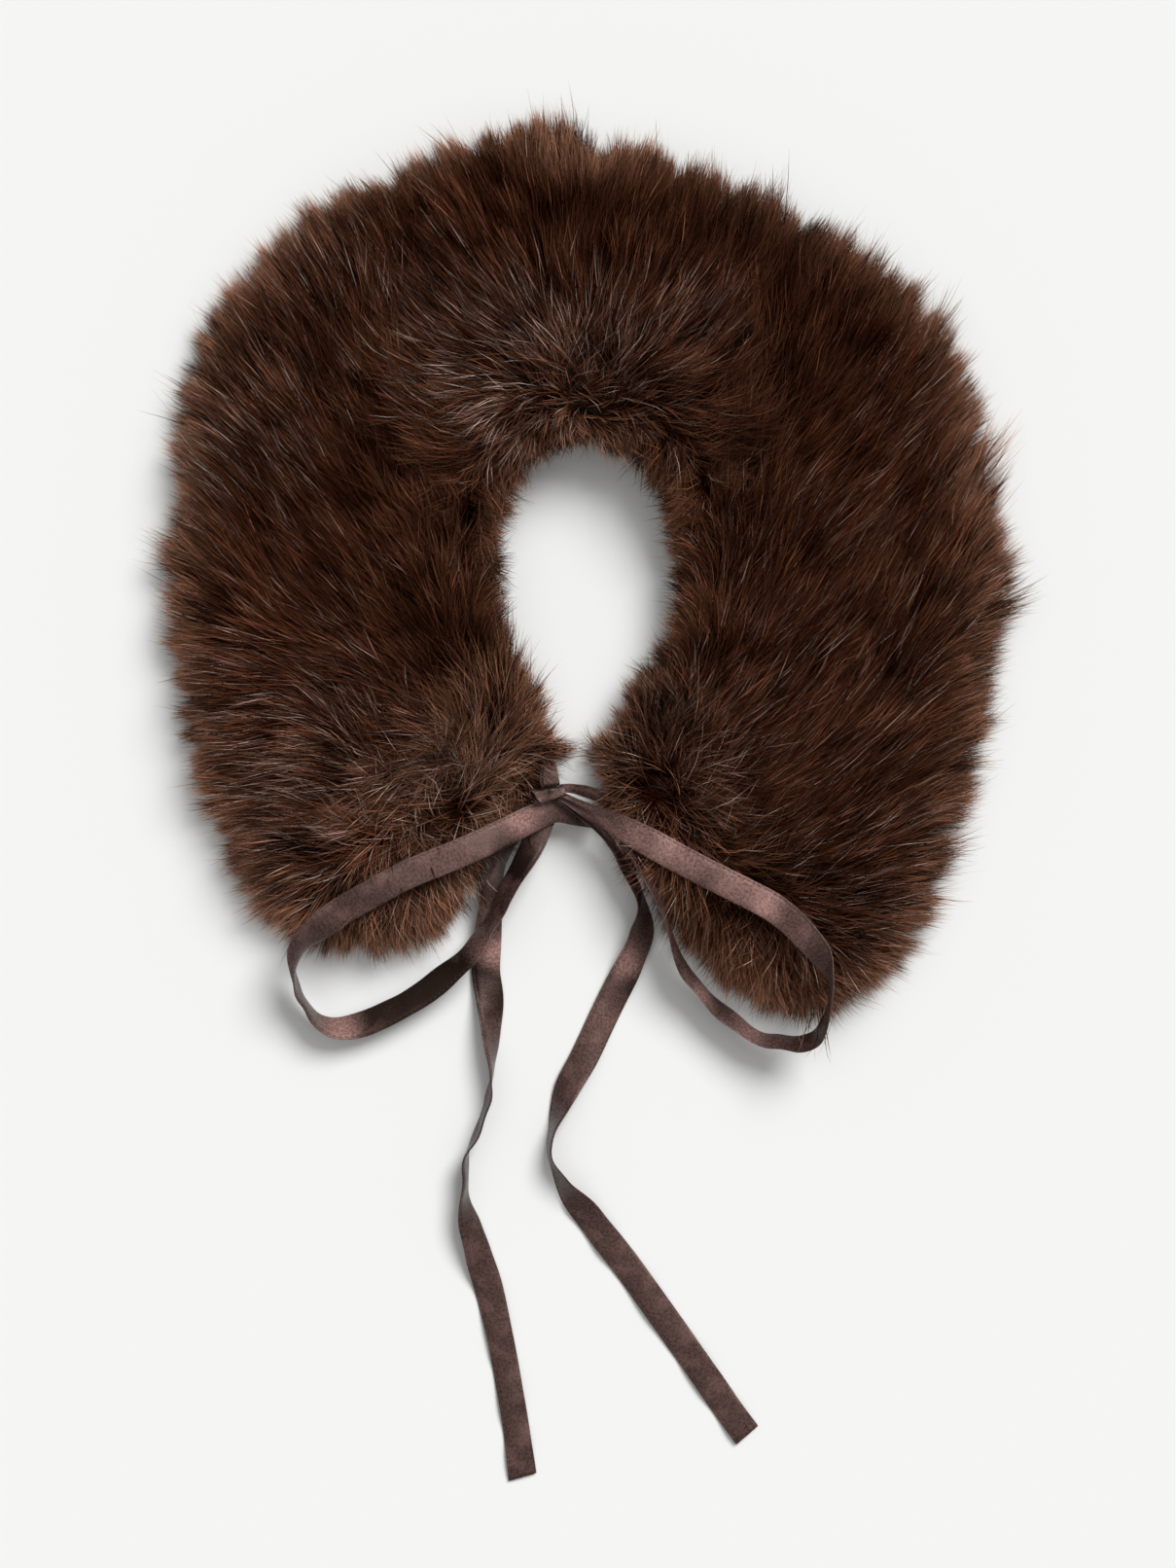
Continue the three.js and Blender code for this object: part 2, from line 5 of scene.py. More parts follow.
import bpy
import numpy as np
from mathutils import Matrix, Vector


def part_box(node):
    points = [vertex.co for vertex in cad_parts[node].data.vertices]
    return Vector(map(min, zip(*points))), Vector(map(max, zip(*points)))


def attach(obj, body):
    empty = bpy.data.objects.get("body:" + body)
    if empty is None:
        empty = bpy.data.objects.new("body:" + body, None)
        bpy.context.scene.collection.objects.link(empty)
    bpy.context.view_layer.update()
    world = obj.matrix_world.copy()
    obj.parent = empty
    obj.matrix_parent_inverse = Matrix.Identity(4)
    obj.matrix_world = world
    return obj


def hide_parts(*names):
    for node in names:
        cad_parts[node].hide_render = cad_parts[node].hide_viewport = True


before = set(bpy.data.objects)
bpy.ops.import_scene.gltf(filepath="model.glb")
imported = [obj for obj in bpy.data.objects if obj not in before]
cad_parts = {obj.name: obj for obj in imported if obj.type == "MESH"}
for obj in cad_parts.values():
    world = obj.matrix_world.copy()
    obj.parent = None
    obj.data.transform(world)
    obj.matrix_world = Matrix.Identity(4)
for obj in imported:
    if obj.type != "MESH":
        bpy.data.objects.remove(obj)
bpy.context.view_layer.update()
MM = 0.001


# The table and the light.
# The collar lies on a seamless white table under a broad soft light from the upper right, with
# white walls all round and a brighter ceiling, and the camera looks straight down on it.
VIEW_HEIGHT = 765.7 * MM
VIEW_CENTRE = (-0.6 * MM, 6.3 * MM)
LENS = 85.0
SENSOR = 36.0
TABLE_SIZE = 8.0
TABLE_WHITE = (0.86, 0.865, 0.85)
WALL_LIGHT = 0.20
CEILING_LIGHT = 0.62
CEILING_STARTS = (0.55, 0.85)
KEY_FROM = (1.35, 1.85, 2.5)
KEY_SPREAD = 30.0
KEY_POWER = 2.78


class Shade:
    """A socket in a material. Sums and products of numbers add Math nodes, node() adds any other node."""

    def __init__(self, tree, socket=None):
        self.tree = tree
        self.socket = socket

    def node(self, kind, settings=(), inputs=(), output=0):
        """Adds a node of a type, sets its settings, then its sockets, and gives one output."""
        made = self.tree.nodes.new(kind)
        for name, value in dict(settings).items():
            setattr(made, name, value)
        for name, value in dict(inputs).items():
            if isinstance(value, Shade):
                self.tree.links.new(value.socket, made.inputs[name])
            else:
                made.inputs[name].default_value = value
        return Shade(self.tree, made.outputs[output]) if len(made.outputs) else made

    def maths(self, operation, first, second):
        return self.node("ShaderNodeMath", {"operation": operation}, {0: first, 1: second})

    def __add__(self, other):
        return self.maths("ADD", self, other)

    def __radd__(self, other):
        return self.maths("ADD", other, self)

    def __mul__(self, other):
        return self.maths("MULTIPLY", self, other)

    def mix(self, first, second):
        """A colour between two, by this value."""
        return self.node(
            "ShaderNodeMix",
            {"data_type": "RGBA"},
            {0: self, 6: first, 7: second},
            output=2,
        )


def new_material(name):
    """A material with nothing but its output, and a handle to add its nodes by."""
    material = bpy.data.materials.new(name)
    material.use_nodes = True
    material.node_tree.nodes.clear()
    return material, Shade(material.node_tree)


def finish_material(shade, inputs):
    """The shader of a material from its named sockets, joined to the output."""
    surface = shade.node("ShaderNodeBsdfPrincipled", (), inputs)
    shade.node("ShaderNodeOutputMaterial", (), {"Surface": surface})


def mesh_of(name, points, quads, triangles=(), smooth=True):
    """An object from arrays of points and of the point numbers of its faces."""
    mesh = bpy.data.meshes.new(name)
    points = np.asarray(points, np.float32).reshape(-1, 3)
    quads = np.asarray(quads, np.int32).reshape(-1, 4)
    triangles = np.asarray(triangles, np.int32).reshape(-1, 3)
    corners = np.concatenate([quads.ravel(), triangles.ravel()])
    starts = np.concatenate([np.arange(len(quads)) * 4, len(quads) * 4 + np.arange(len(triangles)) * 3])
    mesh.vertices.add(len(points))
    mesh.vertices.foreach_set("co", points.ravel())
    mesh.loops.add(len(corners))
    mesh.loops.foreach_set("vertex_index", corners)
    mesh.polygons.add(len(starts))
    mesh.polygons.foreach_set("loop_start", starts)
    mesh.update(calc_edges=True)
    mesh.validate()
    mesh.polygons.foreach_set("use_smooth", np.full(len(starts), smooth))
    made = bpy.data.objects.new(name, mesh)
    bpy.context.scene.collection.objects.link(made)
    return made


def grid_faces(rows, columns, wrap=False):
    """The quads of a grid of points with that many rows and columns. wrap joins the last column to the
    first."""
    row = np.arange(rows - 1)[:, None] * columns
    column = np.arange(columns if wrap else columns - 1)[None, :]
    after = (column + 1) % columns
    corners = [row + column, row + after, row + columns + after, row + columns + column]
    return np.stack(corners, -1).reshape(-1, 4)


table_corners = [(TABLE_SIZE * x, TABLE_SIZE * y, 0) for x, y in ((-1, -1), (1, -1), (1, 1), (-1, 1))]
table = mesh_of("table", table_corners, [(0, 1, 2, 3)], smooth=False)
table_material, shade = new_material("white_table")
finish_material(shade, {"Base Color": (*TABLE_WHITE, 1), "Roughness": 0.9, "Specular IOR Level": 0.1})
table.data.materials.append(table_material)


key = bpy.data.objects.new("key_light", bpy.data.lights.new("key_light", "SUN"))
key.data.angle = math.radians(KEY_SPREAD)
key.data.energy = KEY_POWER
key.location = KEY_FROM
key.rotation_euler = Vector(KEY_FROM).to_track_quat("Z", "Y").to_euler()
bpy.context.scene.collection.objects.link(key)

world = bpy.data.worlds.new("white_walls")
world.use_nodes = True
sky = Shade(world.node_tree)
upward = sky.node("ShaderNodeSeparateXYZ", (), {"Vector": sky.node("ShaderNodeTexCoord")}, output=2)
around = sky.node(
    "ShaderNodeMapRange",
    {"interpolation_type": "SMOOTHSTEP"},
    {
        "Value": upward,
        "From Min": CEILING_STARTS[0],
        "From Max": CEILING_STARTS[1],
        "To Min": WALL_LIGHT,
        "To Max": CEILING_LIGHT,
    },
)
background = world.node_tree.nodes["Background"]
background.inputs["Color"].default_value = (1.0, 1.0, 1.0, 1)
world.node_tree.links.new(around.socket, background.inputs["Strength"])
bpy.context.scene.world = world
bpy.context.scene.view_settings.view_transform = "Standard"

camera = bpy.data.objects.new("camera", bpy.data.cameras.new("camera"))
camera.data.lens = LENS
camera.data.sensor_width = SENSOR
camera.location = (*VIEW_CENTRE, VIEW_HEIGHT * LENS / SENSOR)
bpy.context.scene.collection.objects.link(camera)
bpy.context.scene.camera = camera


# The two satin ties.
# Each is a strip of dark brown satin folded double and stitched along one edge and across its end,
# 14 mm wide. The other end is sewn into a front corner of the collar, and the pair is tied in a bow.
TIE_WIDTH = 14.0
TIE_HALF_THICKNESS = 0.5
TIE_STEP = 2.0
HEM_INSET = 1.35
PLEAT_FILL = 0.56
STITCH_PITCH = 2.7
STITCH_LENGTH = 1.9
STITCH_THICKNESS = 0.22
END_STITCH_INSET = 1.6
# The satin's own dark colour, and the colour of the highlights painted on it where its tone rises.
TIE_SHADE = (0.012, 0.0065, 0.0048)
TIE_PAINTED_HIGHLIGHT = (0.400, 0.225, 0.200)
THREAD_SHADE = (0.050, 0.028, 0.022)

# A row for each bend of a tie's middle line, in millimetres: x, y, z, how far the strip is turned up
# on its edge in degrees, and how wide it is there.
LEFT_STUB = [
    (-23.2, 25.0, 13.6, -4, 5),
    (-21.8, 20.2, 15.0, -4, 6),
    (-20.7, 14.2, 17.0, -2, 8),
    (-20.1, 7.9, 19.4, 4, 9.3),
    (-19.6, 4.6, 20.6, 6, 9.5),
]
RIGHT_STUB = [
    (6.0, -1.6, 10.0, 30, 5),
    (-2.6, 2.2, 16.0, 36, 5),
    (-10.5, 3.6, 21.0, 36, 4.6),
    (-14.5, 3.2, 21.6, 36, 4),
]
LEFT_LOOP = [
    (2.0, -11.6, 9.0, 4, 8),
    (-7.0, -9.2, 11.0, 2, 10),
    (-17.0, -6.6, 14.8, 0, 12),
    (-27.0, -9.8, 19.2, -6, 13),
    (-45.4, -19.0, 31.0, -4, 14),
    (-66.0, -28.2, 35.0, 0, 14),
    (-88.6, -37.5, 36.6, -2, 14),
    (-106.0, -46.8, 37.0, -4, 14),
    (-121.0, -55.6, 36.0, -10, 14),
    (-134.0, -65.0, 33.8, -30, 14),
    (-141.3, -73.2, 29.5, -62, 14),
    (-143.9, -82.0, 23.5, -80, 14),
    (-143.2, -90.5, 18.0, -84, 14),
    (-140.4, -99.8, 13.5, -86, 14),
    (-134.2, -108.6, 11.0, -66, 14),
    (-124.6, -112.6, 9.5, -44, 14),
    (-111.9, -111.2, 8.5, -34, 14),
    (-95.7, -104.5, 8.5, -30, 14),
    (-79.1, -94.1, 9.5, -30, 14),
    (-62.9, -81.2, 12.0, -40, 14),
    (-51.6, -67.6, 15.0, -56, 14),
    (-41.6, -49.0, 17.5, -58, 14),
    (-33.6, -34.0, 17.0, -36, 13),
    (-26.0, -19.5, 13.6, -12, 11),
    (-21.6, -10.6, 11.4, 0, 9),
]
LEFT_TAIL = [
    (-31.6, -14.4, 8.6, -4, 7),
    (-38.6, -20.0, 8.8, -20, 8),
    (-43.8, -27.6, 10.0, -50, 10),
    (-46.6, -37.6, 10.0, -46, 12),
    (-48.8, -50.0, 7.8, -34, 13.5),
    (-50.4, -67.0, 3.9, -16, 14),
    (-51.3, -85.0, 0.8, 0, 14),
    (-49.6, -98.0, 2.5, -12, 14),
    (-49.0, -112.0, 5.7, -46, 14),
    (-49.4, -126.0, 7.1, -74, 14),
    (-49.8, -137.8, 7.3, -88, 14),
    (-50.6, -148.0, 7.2, -103, 14),
    (-56.4, -162.5, 7.2, -102, 14),
    (-61.0, -175.6, 7.3, -84, 14),
    (-62.3, -186.0, 7.3, -82, 14),
    (-61.8, -197.0, 7.0, -68, 14),
    (-59.6, -209.0, 5.7, -46, 14),
    (-55.2, -223.0, 3.5, -20, 14),
    (-49.6, -241.0, 1.0, 0, 14),
    (-44.4, -263.6, 1.0, 0, 13),
    (-40.1, -286.4, 1.1, 2, 13),
    (-36.3, -309.7, 0.8, 0, 13),
    (-33.4, -332.0, 0.8, 0, 14),
]
RIGHT_LOOP = [
    (-16.0, 1.0, 19.6, 12, 4.5),
    (-10.2, -1.8, 19.0, 16, 5),
    (-3.0, -5.8, 21.0, 14, 7),
    (6.0, -10.0, 25.0, 8, 9),
    (17.0, -15.8, 29.5, 4, 12),
    (28.0, -21.8, 32.0, 2, 14),
    (46.3, -31.8, 34.8, 0, 14),
    (68.6, -43.2, 36.5, 0, 14),
    (88.0, -53.5, 37.4, 2, 14),
    (101.4, -65.0, 40.5, 16, 14),
    (110.0, -75.5, 42.0, 44, 14),
    (113.8, -86.6, 43.0, 76, 14),
    (114.9, -97.4, 40.5, 84, 14),
    (113.4, -108.3, 35.0, 80, 14),
    (109.0, -115.8, 28.0, 66, 14),
    (101.4, -119.4, 22.0, 58, 14),
    (91.4, -119.6, 17.5, 64, 14),
    (83.4, -118.2, 15.0, 66, 14),
    (75.0, -114.0, 13.5, 60, 14),
    (66.7, -108.0, 12.5, 60, 14),
    (58.4, -100.4, 12.5, 62, 14),
    (51.0, -92.8, 14.0, 64, 14),
    (44.6, -84.6, 17.0, 72, 14),
    (39.6, -72.0, 20.5, 76, 14),
    (35.0, -59.0, 24.0, 76, 13),
    (29.4, -45.0, 26.5, 72, 11),
    (22.6, -31.6, 25.8, 60, 7),
    (15.0, -22.0, 22.8, 40, 5.5),
]
RIGHT_TAIL = [
    (-16.4, -0.6, 18.2, -20, 4.5),
    (-10.6, -4.4, 17.2, -30, 5),
    (-4.4, -9.6, 16.6, -34, 5),
    (2.6, -15.6, 16.4, -42, 6),
    (9.4, -23.4, 16.0, -54, 8),
    (15.8, -34.0, 15.0, -66, 10),
    (21.2, -45.0, 13.0, -72, 12),
    (24.6, -56.0, 10.4, -58, 14),
    (23.8, -67.8, 6.8, -34, 14),
    (18.6, -81.6, 3.6, -14, 14),
    (11.2, -96.8, 0.9, 0, 14),
    (3.6, -112.6, 1.0, 0, 14),
    (-3.6, -128.0, 1.8, 8, 14),
    (-11.0, -142.0, 4.5, 32, 14),
    (-16.8, -157.0, 6.7, 62, 14),
    (-18.9, -169.0, 7.2, 80, 14),
    (-18.4, -177.0, 7.3, 86, 14),
    (-14.6, -186.0, 6.7, 62, 14),
    (-8.0, -195.4, 4.7, 34, 14),
    (0.4, -206.6, 2.3, 12, 14),
    (9.8, -219.0, 0.8, 0, 14),
    (19.2, -231.2, 0.8, 0, 14),
    (35.9, -254.6, 0.8, 0, 14),
    (54.2, -280.4, 1.1, 2, 14),
    (66.0, -297.6, 0.8, 0, 14),
    (76.2, -311.6, 0.8, 0, 14),
]

# Painted highlights where the satin catches the light, and painted shade where it turns from it: a place, a
# reach and a strength.
TIE_PAINTED_SPOTS = np.array([
    (-33, -12, 7, 0.9), (-73, -29, 13, 0.25), (20, -18, 8, 0.5), (36, -24, 9, 0.6), (49, -33, 7, 0.5),
    (71, -40, 9, 0.7), (83, -52, 8, 0.8), (98, -67, 8, 0.25), (-48, -76, 8, 0.9), (17, -81, 7, 0.9),
    (3, -107, 10, 0.3), (-121, -112, 8, 0.8), (53, -96, 6, 0.7), (77, -114, 9, 0.5), (-15, 14, 4, 0.5),
    (-24, -2, 3, 0.5), (-18, 0, 2.5, 0.35), (-13, 2, 2.5, 0.4), (-21, 6, 5, -0.6), (-96, -103, 18, -0.3),
    (-73, -90, 18, -0.4), (-35, -31, 10, -0.4), (-50, -94, 10, -0.5), (22, -92, 6, -0.4),
    (-58, -175, 30, -0.2), (25, -150, 12, 0.2), (4, -45, 12, -0.5),
], float)

# The knot's place in the same millimetres shows how far the frame's origin is from the tables'.
KNOT_PLACE = np.array([-19.6, 1.6, 21.4])
knot_low, knot_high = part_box("bow_knot")
table_origin = (np.array(knot_low) + np.array(knot_high)) / 2 - KNOT_PLACE * MM


def between_rows(values, places):
    """A table's column at any place along it: a cubic between two rows, whose slope at a row is half the
    difference of the rows on its two sides."""
    values = np.asarray(values, float)
    last = len(values) - 1
    i = np.clip(np.floor(places).astype(int), 0, last - 1)
    t = (places - i).reshape((-1,) + (1,) * (values.ndim - 1))
    start, end = values[i], values[i + 1]
    slope_start = (end - values[np.maximum(i - 1, 0)]) / 2
    slope_end = (values[np.minimum(i + 2, last)] - start) / 2
    return (
        start * (2 * t**3 - 3 * t**2 + 1)
        + slope_start * (t**3 - 2 * t**2 + t)
        + end * (3 * t**2 - 2 * t**3)
        + slope_end * (t**3 - t**2)
    )


def middle_line(points, places):
    """A smooth line through points: a centripetal Catmull-Rom curve, whose speed over each span goes with
    the square root of the span's length."""
    points = np.asarray(points, float)
    padded = np.vstack([2 * points[0] - points[1], points, 2 * points[-1] - points[-2]])
    i = np.clip(np.floor(places).astype(int), 0, len(points) - 2)
    t = (places - i)[:, None]
    p0, p1, p2, p3 = padded[i], padded[i + 1], padded[i + 2], padded[i + 3]
    spans = ((p0, p1), (p1, p2), (p2, p3))
    d0, d1, d2 = (np.sqrt(np.linalg.norm(b - a, axis=1))[:, None] for a, b in spans)
    slope1 = ((p1 - p0) / d0 - (p2 - p0) / (d0 + d1) + (p2 - p1) / d1) * d1
    slope2 = ((p2 - p1) / d1 - (p3 - p1) / (d1 + d2) + (p3 - p2) / d2) * d1
    return (
        p1 * (2 * t**3 - 3 * t**2 + 1)
        + slope1 * (t**3 - 2 * t**2 + t)
        + p2 * (3 * t**2 - 2 * t**3)
        + slope2 * (t**3 - t**2)
    )


def unit(vectors):
    """Vectors made one long."""
    return vectors / np.maximum(np.linalg.norm(vectors, axis=-1, keepdims=True), 1e-12)


def tie_frame(rows, step):
    """Stations a step apart along a tie: the middle line, the direction across the strip (the table's
    up crossed with the run, turned about the run by the tilt), the direction out of its face, its width,
    and the distance run."""
    rows = np.asarray(rows, float)
    fine = np.linspace(0, len(rows) - 1, 4000)
    line = middle_line(rows[:, :3], fine)
    run = np.concatenate([[0], np.cumsum(np.linalg.norm(np.diff(line, axis=0), axis=1))])
    stations = np.linspace(0, run[-1], max(int(round(run[-1] / step)), 2) + 1)
    places = np.interp(stations, run, fine)
    centre = middle_line(rows[:, :3], places)
    small = 1e-3
    ahead = middle_line(rows[:, :3], np.minimum(places + small, len(rows) - 1))
    behind = middle_line(rows[:, :3], np.maximum(places - small, 0))
    forward = unit(ahead - behind)
    flat_side = unit(np.cross([0, 0, 1], forward))
    tilt = np.radians(between_rows(rows[:, 3], places))[:, None]
    side = flat_side * np.cos(tilt) + np.cross(forward, flat_side) * np.sin(tilt)
    return centre, forward, side, np.cross(forward, side), between_rows(rows[:, 4], places), stations


def tie_relief(across, run, width, seed):
    """How far the strip's middle layer stands out of its flat: a slight cup across, slow waves along that
    are never negative, and, where the strip is drawn narrow, three pleats that take up the spare width."""
    draw = np.random.default_rng(seed)
    phase = draw.uniform(0, 2 * math.pi, 4)
    slow = 0.5 + 0.5 * np.sin(run / 5.3 + phase[0] + 0.9 * across + 1.4 * np.sin(run / 23.0 + phase[1]))
    quick = 0.5 + 0.5 * np.sin(run / 2.9 + phase[2] - 1.3 * across + 1.1 * np.sin(run / 11.0 + phase[3]))
    fold = width / 3
    spare = np.sqrt(np.maximum((PLEAT_FILL * TIE_WIDTH / 3) ** 2 - fold**2, 0)) / 2
    pleats = spare * np.cos(1.5 * math.pi * (across + 1))
    return 0.30 * (1 - across**2) + 1.35 * slow + 0.20 * quick + pleats


HEM_ACROSS = 1 - 2 * HEM_INSET / TIE_WIDTH
ACROSS_TOP = np.array(
    [-1, -0.97, -0.89, -HEM_ACROSS, -0.74, -0.55, -0.28, 0, 0.28, 0.55, 0.74, HEM_ACROSS, 0.89, 0.97, 1]
)


def tie_surface(rows, hem_side, seed, end_slant=0.0):
    """The closed surface of a tie: at each station a flattened loop whose half thickness falls to nothing
    at the two edges and is pressed in along the row of stitches."""
    centre, forward, side, face, width, run = tie_frame(rows, TIE_STEP)
    across = np.concatenate([ACROSS_TOP, ACROSS_TOP[-2:0:-1]])[None, :]
    sign = np.concatenate([np.ones(len(ACROSS_TOP)), -np.ones(len(ACROSS_TOP) - 2)])[None, :]
    hem = np.exp(-(((across - hem_side * HEM_ACROSS) / 0.045) ** 2))
    edge_roll = 1 + 0.35 * np.exp(-(((across - hem_side * 0.95) / 0.06) ** 2))
    pucker = 0.5 + 0.5 * np.cos(2 * math.pi * run[:, None] / STITCH_PITCH)
    thickness = TIE_HALF_THICKNESS * np.sqrt(1 - np.abs(across) ** 8) * edge_roll
    thickness = thickness * (1 - hem * (0.45 + 0.25 * pucker))
    last_fold = np.clip((run[:, None] - run[-1] + 7.0) / 1.5, 0, 1) if end_slant is not None else 0
    thickness = thickness * (1 + 0.3 * last_fold)
    relief = tie_relief(across, run[:, None], width[:, None], seed)
    points = (
        centre[:, None, :]
        + side[:, None, :] * (across * width[:, None] / 2)[..., None]
        + face[:, None, :] * (relief + sign * thickness)[..., None]
    )
    if end_slant is not None:
        near_end = np.clip((run[:, None] - run[-1] + 12.0) / 12.0, 0, 1)
        points = points + forward[:, None, :] * (near_end * across * end_slant)[..., None]
    around = across.shape[1]
    count = len(run)
    quads = grid_faces(count, around, wrap=True)
    corner = np.arange(len(ACROSS_TOP) - 1)
    cap = np.stack([corner, corner + 1, (around - corner - 1) % around, (around - corner) % around], -1)
    caps = np.concatenate([cap[1:-1], cap[1:-1][:, ::-1] + (count - 1) * around])
    tips = np.array([[0, 1, around - 1], [len(ACROSS_TOP) - 1, len(ACROSS_TOP), len(ACROSS_TOP) - 2]])
    tips = np.concatenate([tips, tips[:, ::-1] + (count - 1) * around])
    distance = np.broadcast_to(across * TIE_WIDTH / 2 + (1 - sign) * TIE_WIDTH, (count, around))
    flat = np.stack([distance, np.broadcast_to(run[:, None], (count, around))], -1)
    return points.reshape(-1, 3), quads[:, ::-1], caps, tips, flat.reshape(-1, 2)


def in_frame(points):
    """Points of the tables, in millimetres, as metres about the frame's origin."""
    return np.asarray(points) * MM + table_origin


def stitches_along(rows, hem_side, seed):
    """Rows of stitches on both faces of a tie, each a stretched eight-sided bead along the strip."""
    centre, forward, side, face, width, run = tie_frame(rows, STITCH_PITCH)
    across = np.full(len(run), hem_side * HEM_ACROSS)
    relief = tie_relief(across, run, width, seed)
    place = centre + side * (across * width / 2)[:, None] + face * relief[:, None]
    return np.concatenate(
        [
            beads(place + face * (way * TIE_HALF_THICKNESS * 0.62), forward, side, face)[None]
            for way in (1, -1)
        ]
    ).reshape(-1, 6, 3)


def beads(place, along, side, face):
    """Eight-sided beads at places: a tip at each end along one direction and four corners round the
    middle."""
    half, thick = STITCH_LENGTH / 2, STITCH_THICKNESS
    corners = [along * half, -along * half, side * thick, face * thick, -side * thick, -face * thick]
    return np.stack([place + corner for corner in corners], 1)


BEAD_FACES = np.array(
    [[0, 2, 3], [0, 3, 4], [0, 4, 5], [0, 5, 2], [1, 3, 2], [1, 4, 3], [1, 5, 4], [1, 2, 5]]
)


def stitches_across(rows, seed):
    """The stitches across the end of a tail, on both of its faces."""
    centre, forward, side, face, width, run = tie_frame(rows, TIE_STEP)
    across = np.linspace(-0.78, 0.78, 5)
    relief = tie_relief(across, run[-1] - END_STITCH_INSET, width[-1], seed)
    place = centre[-1] - forward[-1] * END_STITCH_INSET
    place = place + side[-1] * (across * width[-1] / 2)[:, None] + face[-1] * relief[:, None]
    turned = [np.broadcast_to(v, place.shape) for v in (side[-1], forward[-1], face[-1])]
    return np.concatenate(
        [beads(place + face[-1] * (way * TIE_HALF_THICKNESS * 1.2), *turned) for way in (1, -1)]
    )


satin, shade = new_material("brown_satin")
strip_place = shade.node("ShaderNodeUVMap", {"uv_map": "strip"})
grain = shade.node(
    "ShaderNodeTexNoise",
    {"noise_dimensions": "2D"},
    {"Vector": strip_place, "Scale": 700.0, "Detail": 4.0, "Roughness": 0.8},
)
cloud = shade.node(
    "ShaderNodeTexNoise", {"noise_dimensions": "2D"}, {"Vector": strip_place, "Scale": 90.0, "Detail": 2.0}
)
painted_speckle = shade.node("ShaderNodeMapRange", (), {"Value": grain, "From Min": 0.36, "From Max": 0.66})
painted_highlight_and_shade = shade.node("ShaderNodeAttribute", {"attribute_name": "shine"}, output=2)
painted_sheen_patch = shade.node(
    "ShaderNodeMapRange",
    {"interpolation_type": "SMOOTHSTEP"},
    {"Value": cloud, "From Min": 0.46, "From Max": 0.70},
)
# Painted light in the satin's colour: the grain's speckle is painted glints, the cloud's patches are painted
# sheen, and the spots are painted highlights and painted shade.
tone = shade.node(
    "ShaderNodeClamp", (), {"Value": painted_speckle * 0.17 + painted_sheen_patch * 0.10 + painted_highlight_and_shade * (painted_speckle * 0.7 + 0.35) + 0.03}
)
weave = shade.node(
    "ShaderNodeTexWave",
    {"wave_type": "BANDS", "bands_direction": "X"},
    {"Vector": strip_place, "Scale": 900.0, "Distortion": 1.5},
    output=1,
)
satin_bump = shade.node(
    "ShaderNodeBump", (), {"Strength": 0.8, "Distance": 0.00024, "Height": grain * 0.9 + weave * 0.1}
)
finish_material(
    shade,
    {
        "Base Color": tone.mix((*TIE_SHADE, 1), (*TIE_PAINTED_HIGHLIGHT, 1)),
        "Roughness": 0.20 + grain * 0.16,
        "Specular IOR Level": 0.45,
        "Specular Tint": (1.0, 0.66, 0.58, 1),
        "Normal": satin_bump,
    },
)
thread, shade = new_material("brown_thread")
finish_material(shade, {"Base Color": (*THREAD_SHADE, 1), "Roughness": 0.6})


def spots_of(table, places):
    """How strongly a table's spots act at places: the sum of their strengths, each falling off as a
    bell."""
    gap = ((places[:, None, :] - table[None, :, :2]) ** 2).sum(-1)
    return (np.exp(-gap / table[:, 2] ** 2) * table[:, 3]).sum(1)


def add_flat_map(piece, flat):
    """Gives a mesh a map of its cloth laid flat, in metres, from a value at each point."""
    layer = piece.data.uv_layers.new(name="strip")
    corner = np.zeros(len(piece.data.loops), np.int32)
    piece.data.loops.foreach_get("vertex_index", corner)
    layer.data.foreach_set("uv", (np.asarray(flat)[corner] * MM).astype(np.float32).ravel())


def paint_light_spots(piece, points):
    """Gives a mesh the strength of the highlights and shade painted into its colour at each point, from places
    in millimetres.
    """
    shine = piece.data.attributes.new("shine", "FLOAT", "POINT")
    shine.data.foreach_set("value", spots_of(TIE_PAINTED_SPOTS, points[:, :2]).astype(np.float32))


def make_tie(name, rows, hem_side, seed, nodes, held, rests_on, end_slant=None):
    """A stretch of tie with its stitches, which stands for its solids."""
    points, quads, caps, tips, flat = tie_surface(rows, hem_side, seed, end_slant)
    strip = mesh_of(name, in_frame(points), np.concatenate([quads, caps]), tips)
    add_flat_map(strip, flat)
    paint_light_spots(strip, points)
    strip.data.materials.append(satin)
    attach(strip, "root")
    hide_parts(*nodes)
    sewn = stitches_along(rows, hem_side, seed)
    if end_slant is not None:
        sewn = np.concatenate([sewn, stitches_across(rows, seed)])
    faces = (np.arange(len(sewn))[:, None, None] * 6 + BEAD_FACES[None]).reshape(-1, 3)
    stitching = mesh_of(name + "_stitching", in_frame(sewn.reshape(-1, 3)), [], faces)
    stitching.data.materials.append(thread)
    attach(stitching, "root")
    length = tie_frame(rows, TIE_STEP)[5][-1] * MM
    width = np.mean(tie_frame(rows, TIE_STEP)[4]) * MM
    max(0.5, width / (TIE_WIDTH * MM)) * TIE_WIDTH * MM * length


# A row for each stretch: its name, the table of its line, the side that its hem is on, its seed, the
# solids it stands for, how it is held, what it rests on, and how far its end slants.
LEFT_LOOP_NODES = ["left_loop_top", "left_loop_under"]
RIGHT_LOOP_NODES = ["right_loop_top", "right_loop_under"]
TIES = [
    ("left_stub", LEFT_STUB, -1, 11, ["left_tie_stub"], "gathered", ["left_upper_fur"], None),
    ("right_stub", RIGHT_STUB, -1, 12, ["right_tie_stub"], "gathered", ["right_upper_fur"], None),
    ("left_loop", LEFT_LOOP, -1, 13, LEFT_LOOP_NODES, "folded", ["left_upper_fur"], None),
    ("right_loop", RIGHT_LOOP, 1, 14, RIGHT_LOOP_NODES, "folded", ["right_upper_fur"], None),
    ("left_tail_strip", LEFT_TAIL, -1, 15, ["left_tail"], "laid", ["table"], -1.1),
    ("right_tail_strip", RIGHT_TAIL, -1, 16, ["right_tail"], "laid", ["table"], -0.5),
]
for tie in TIES:
    make_tie(*tie)


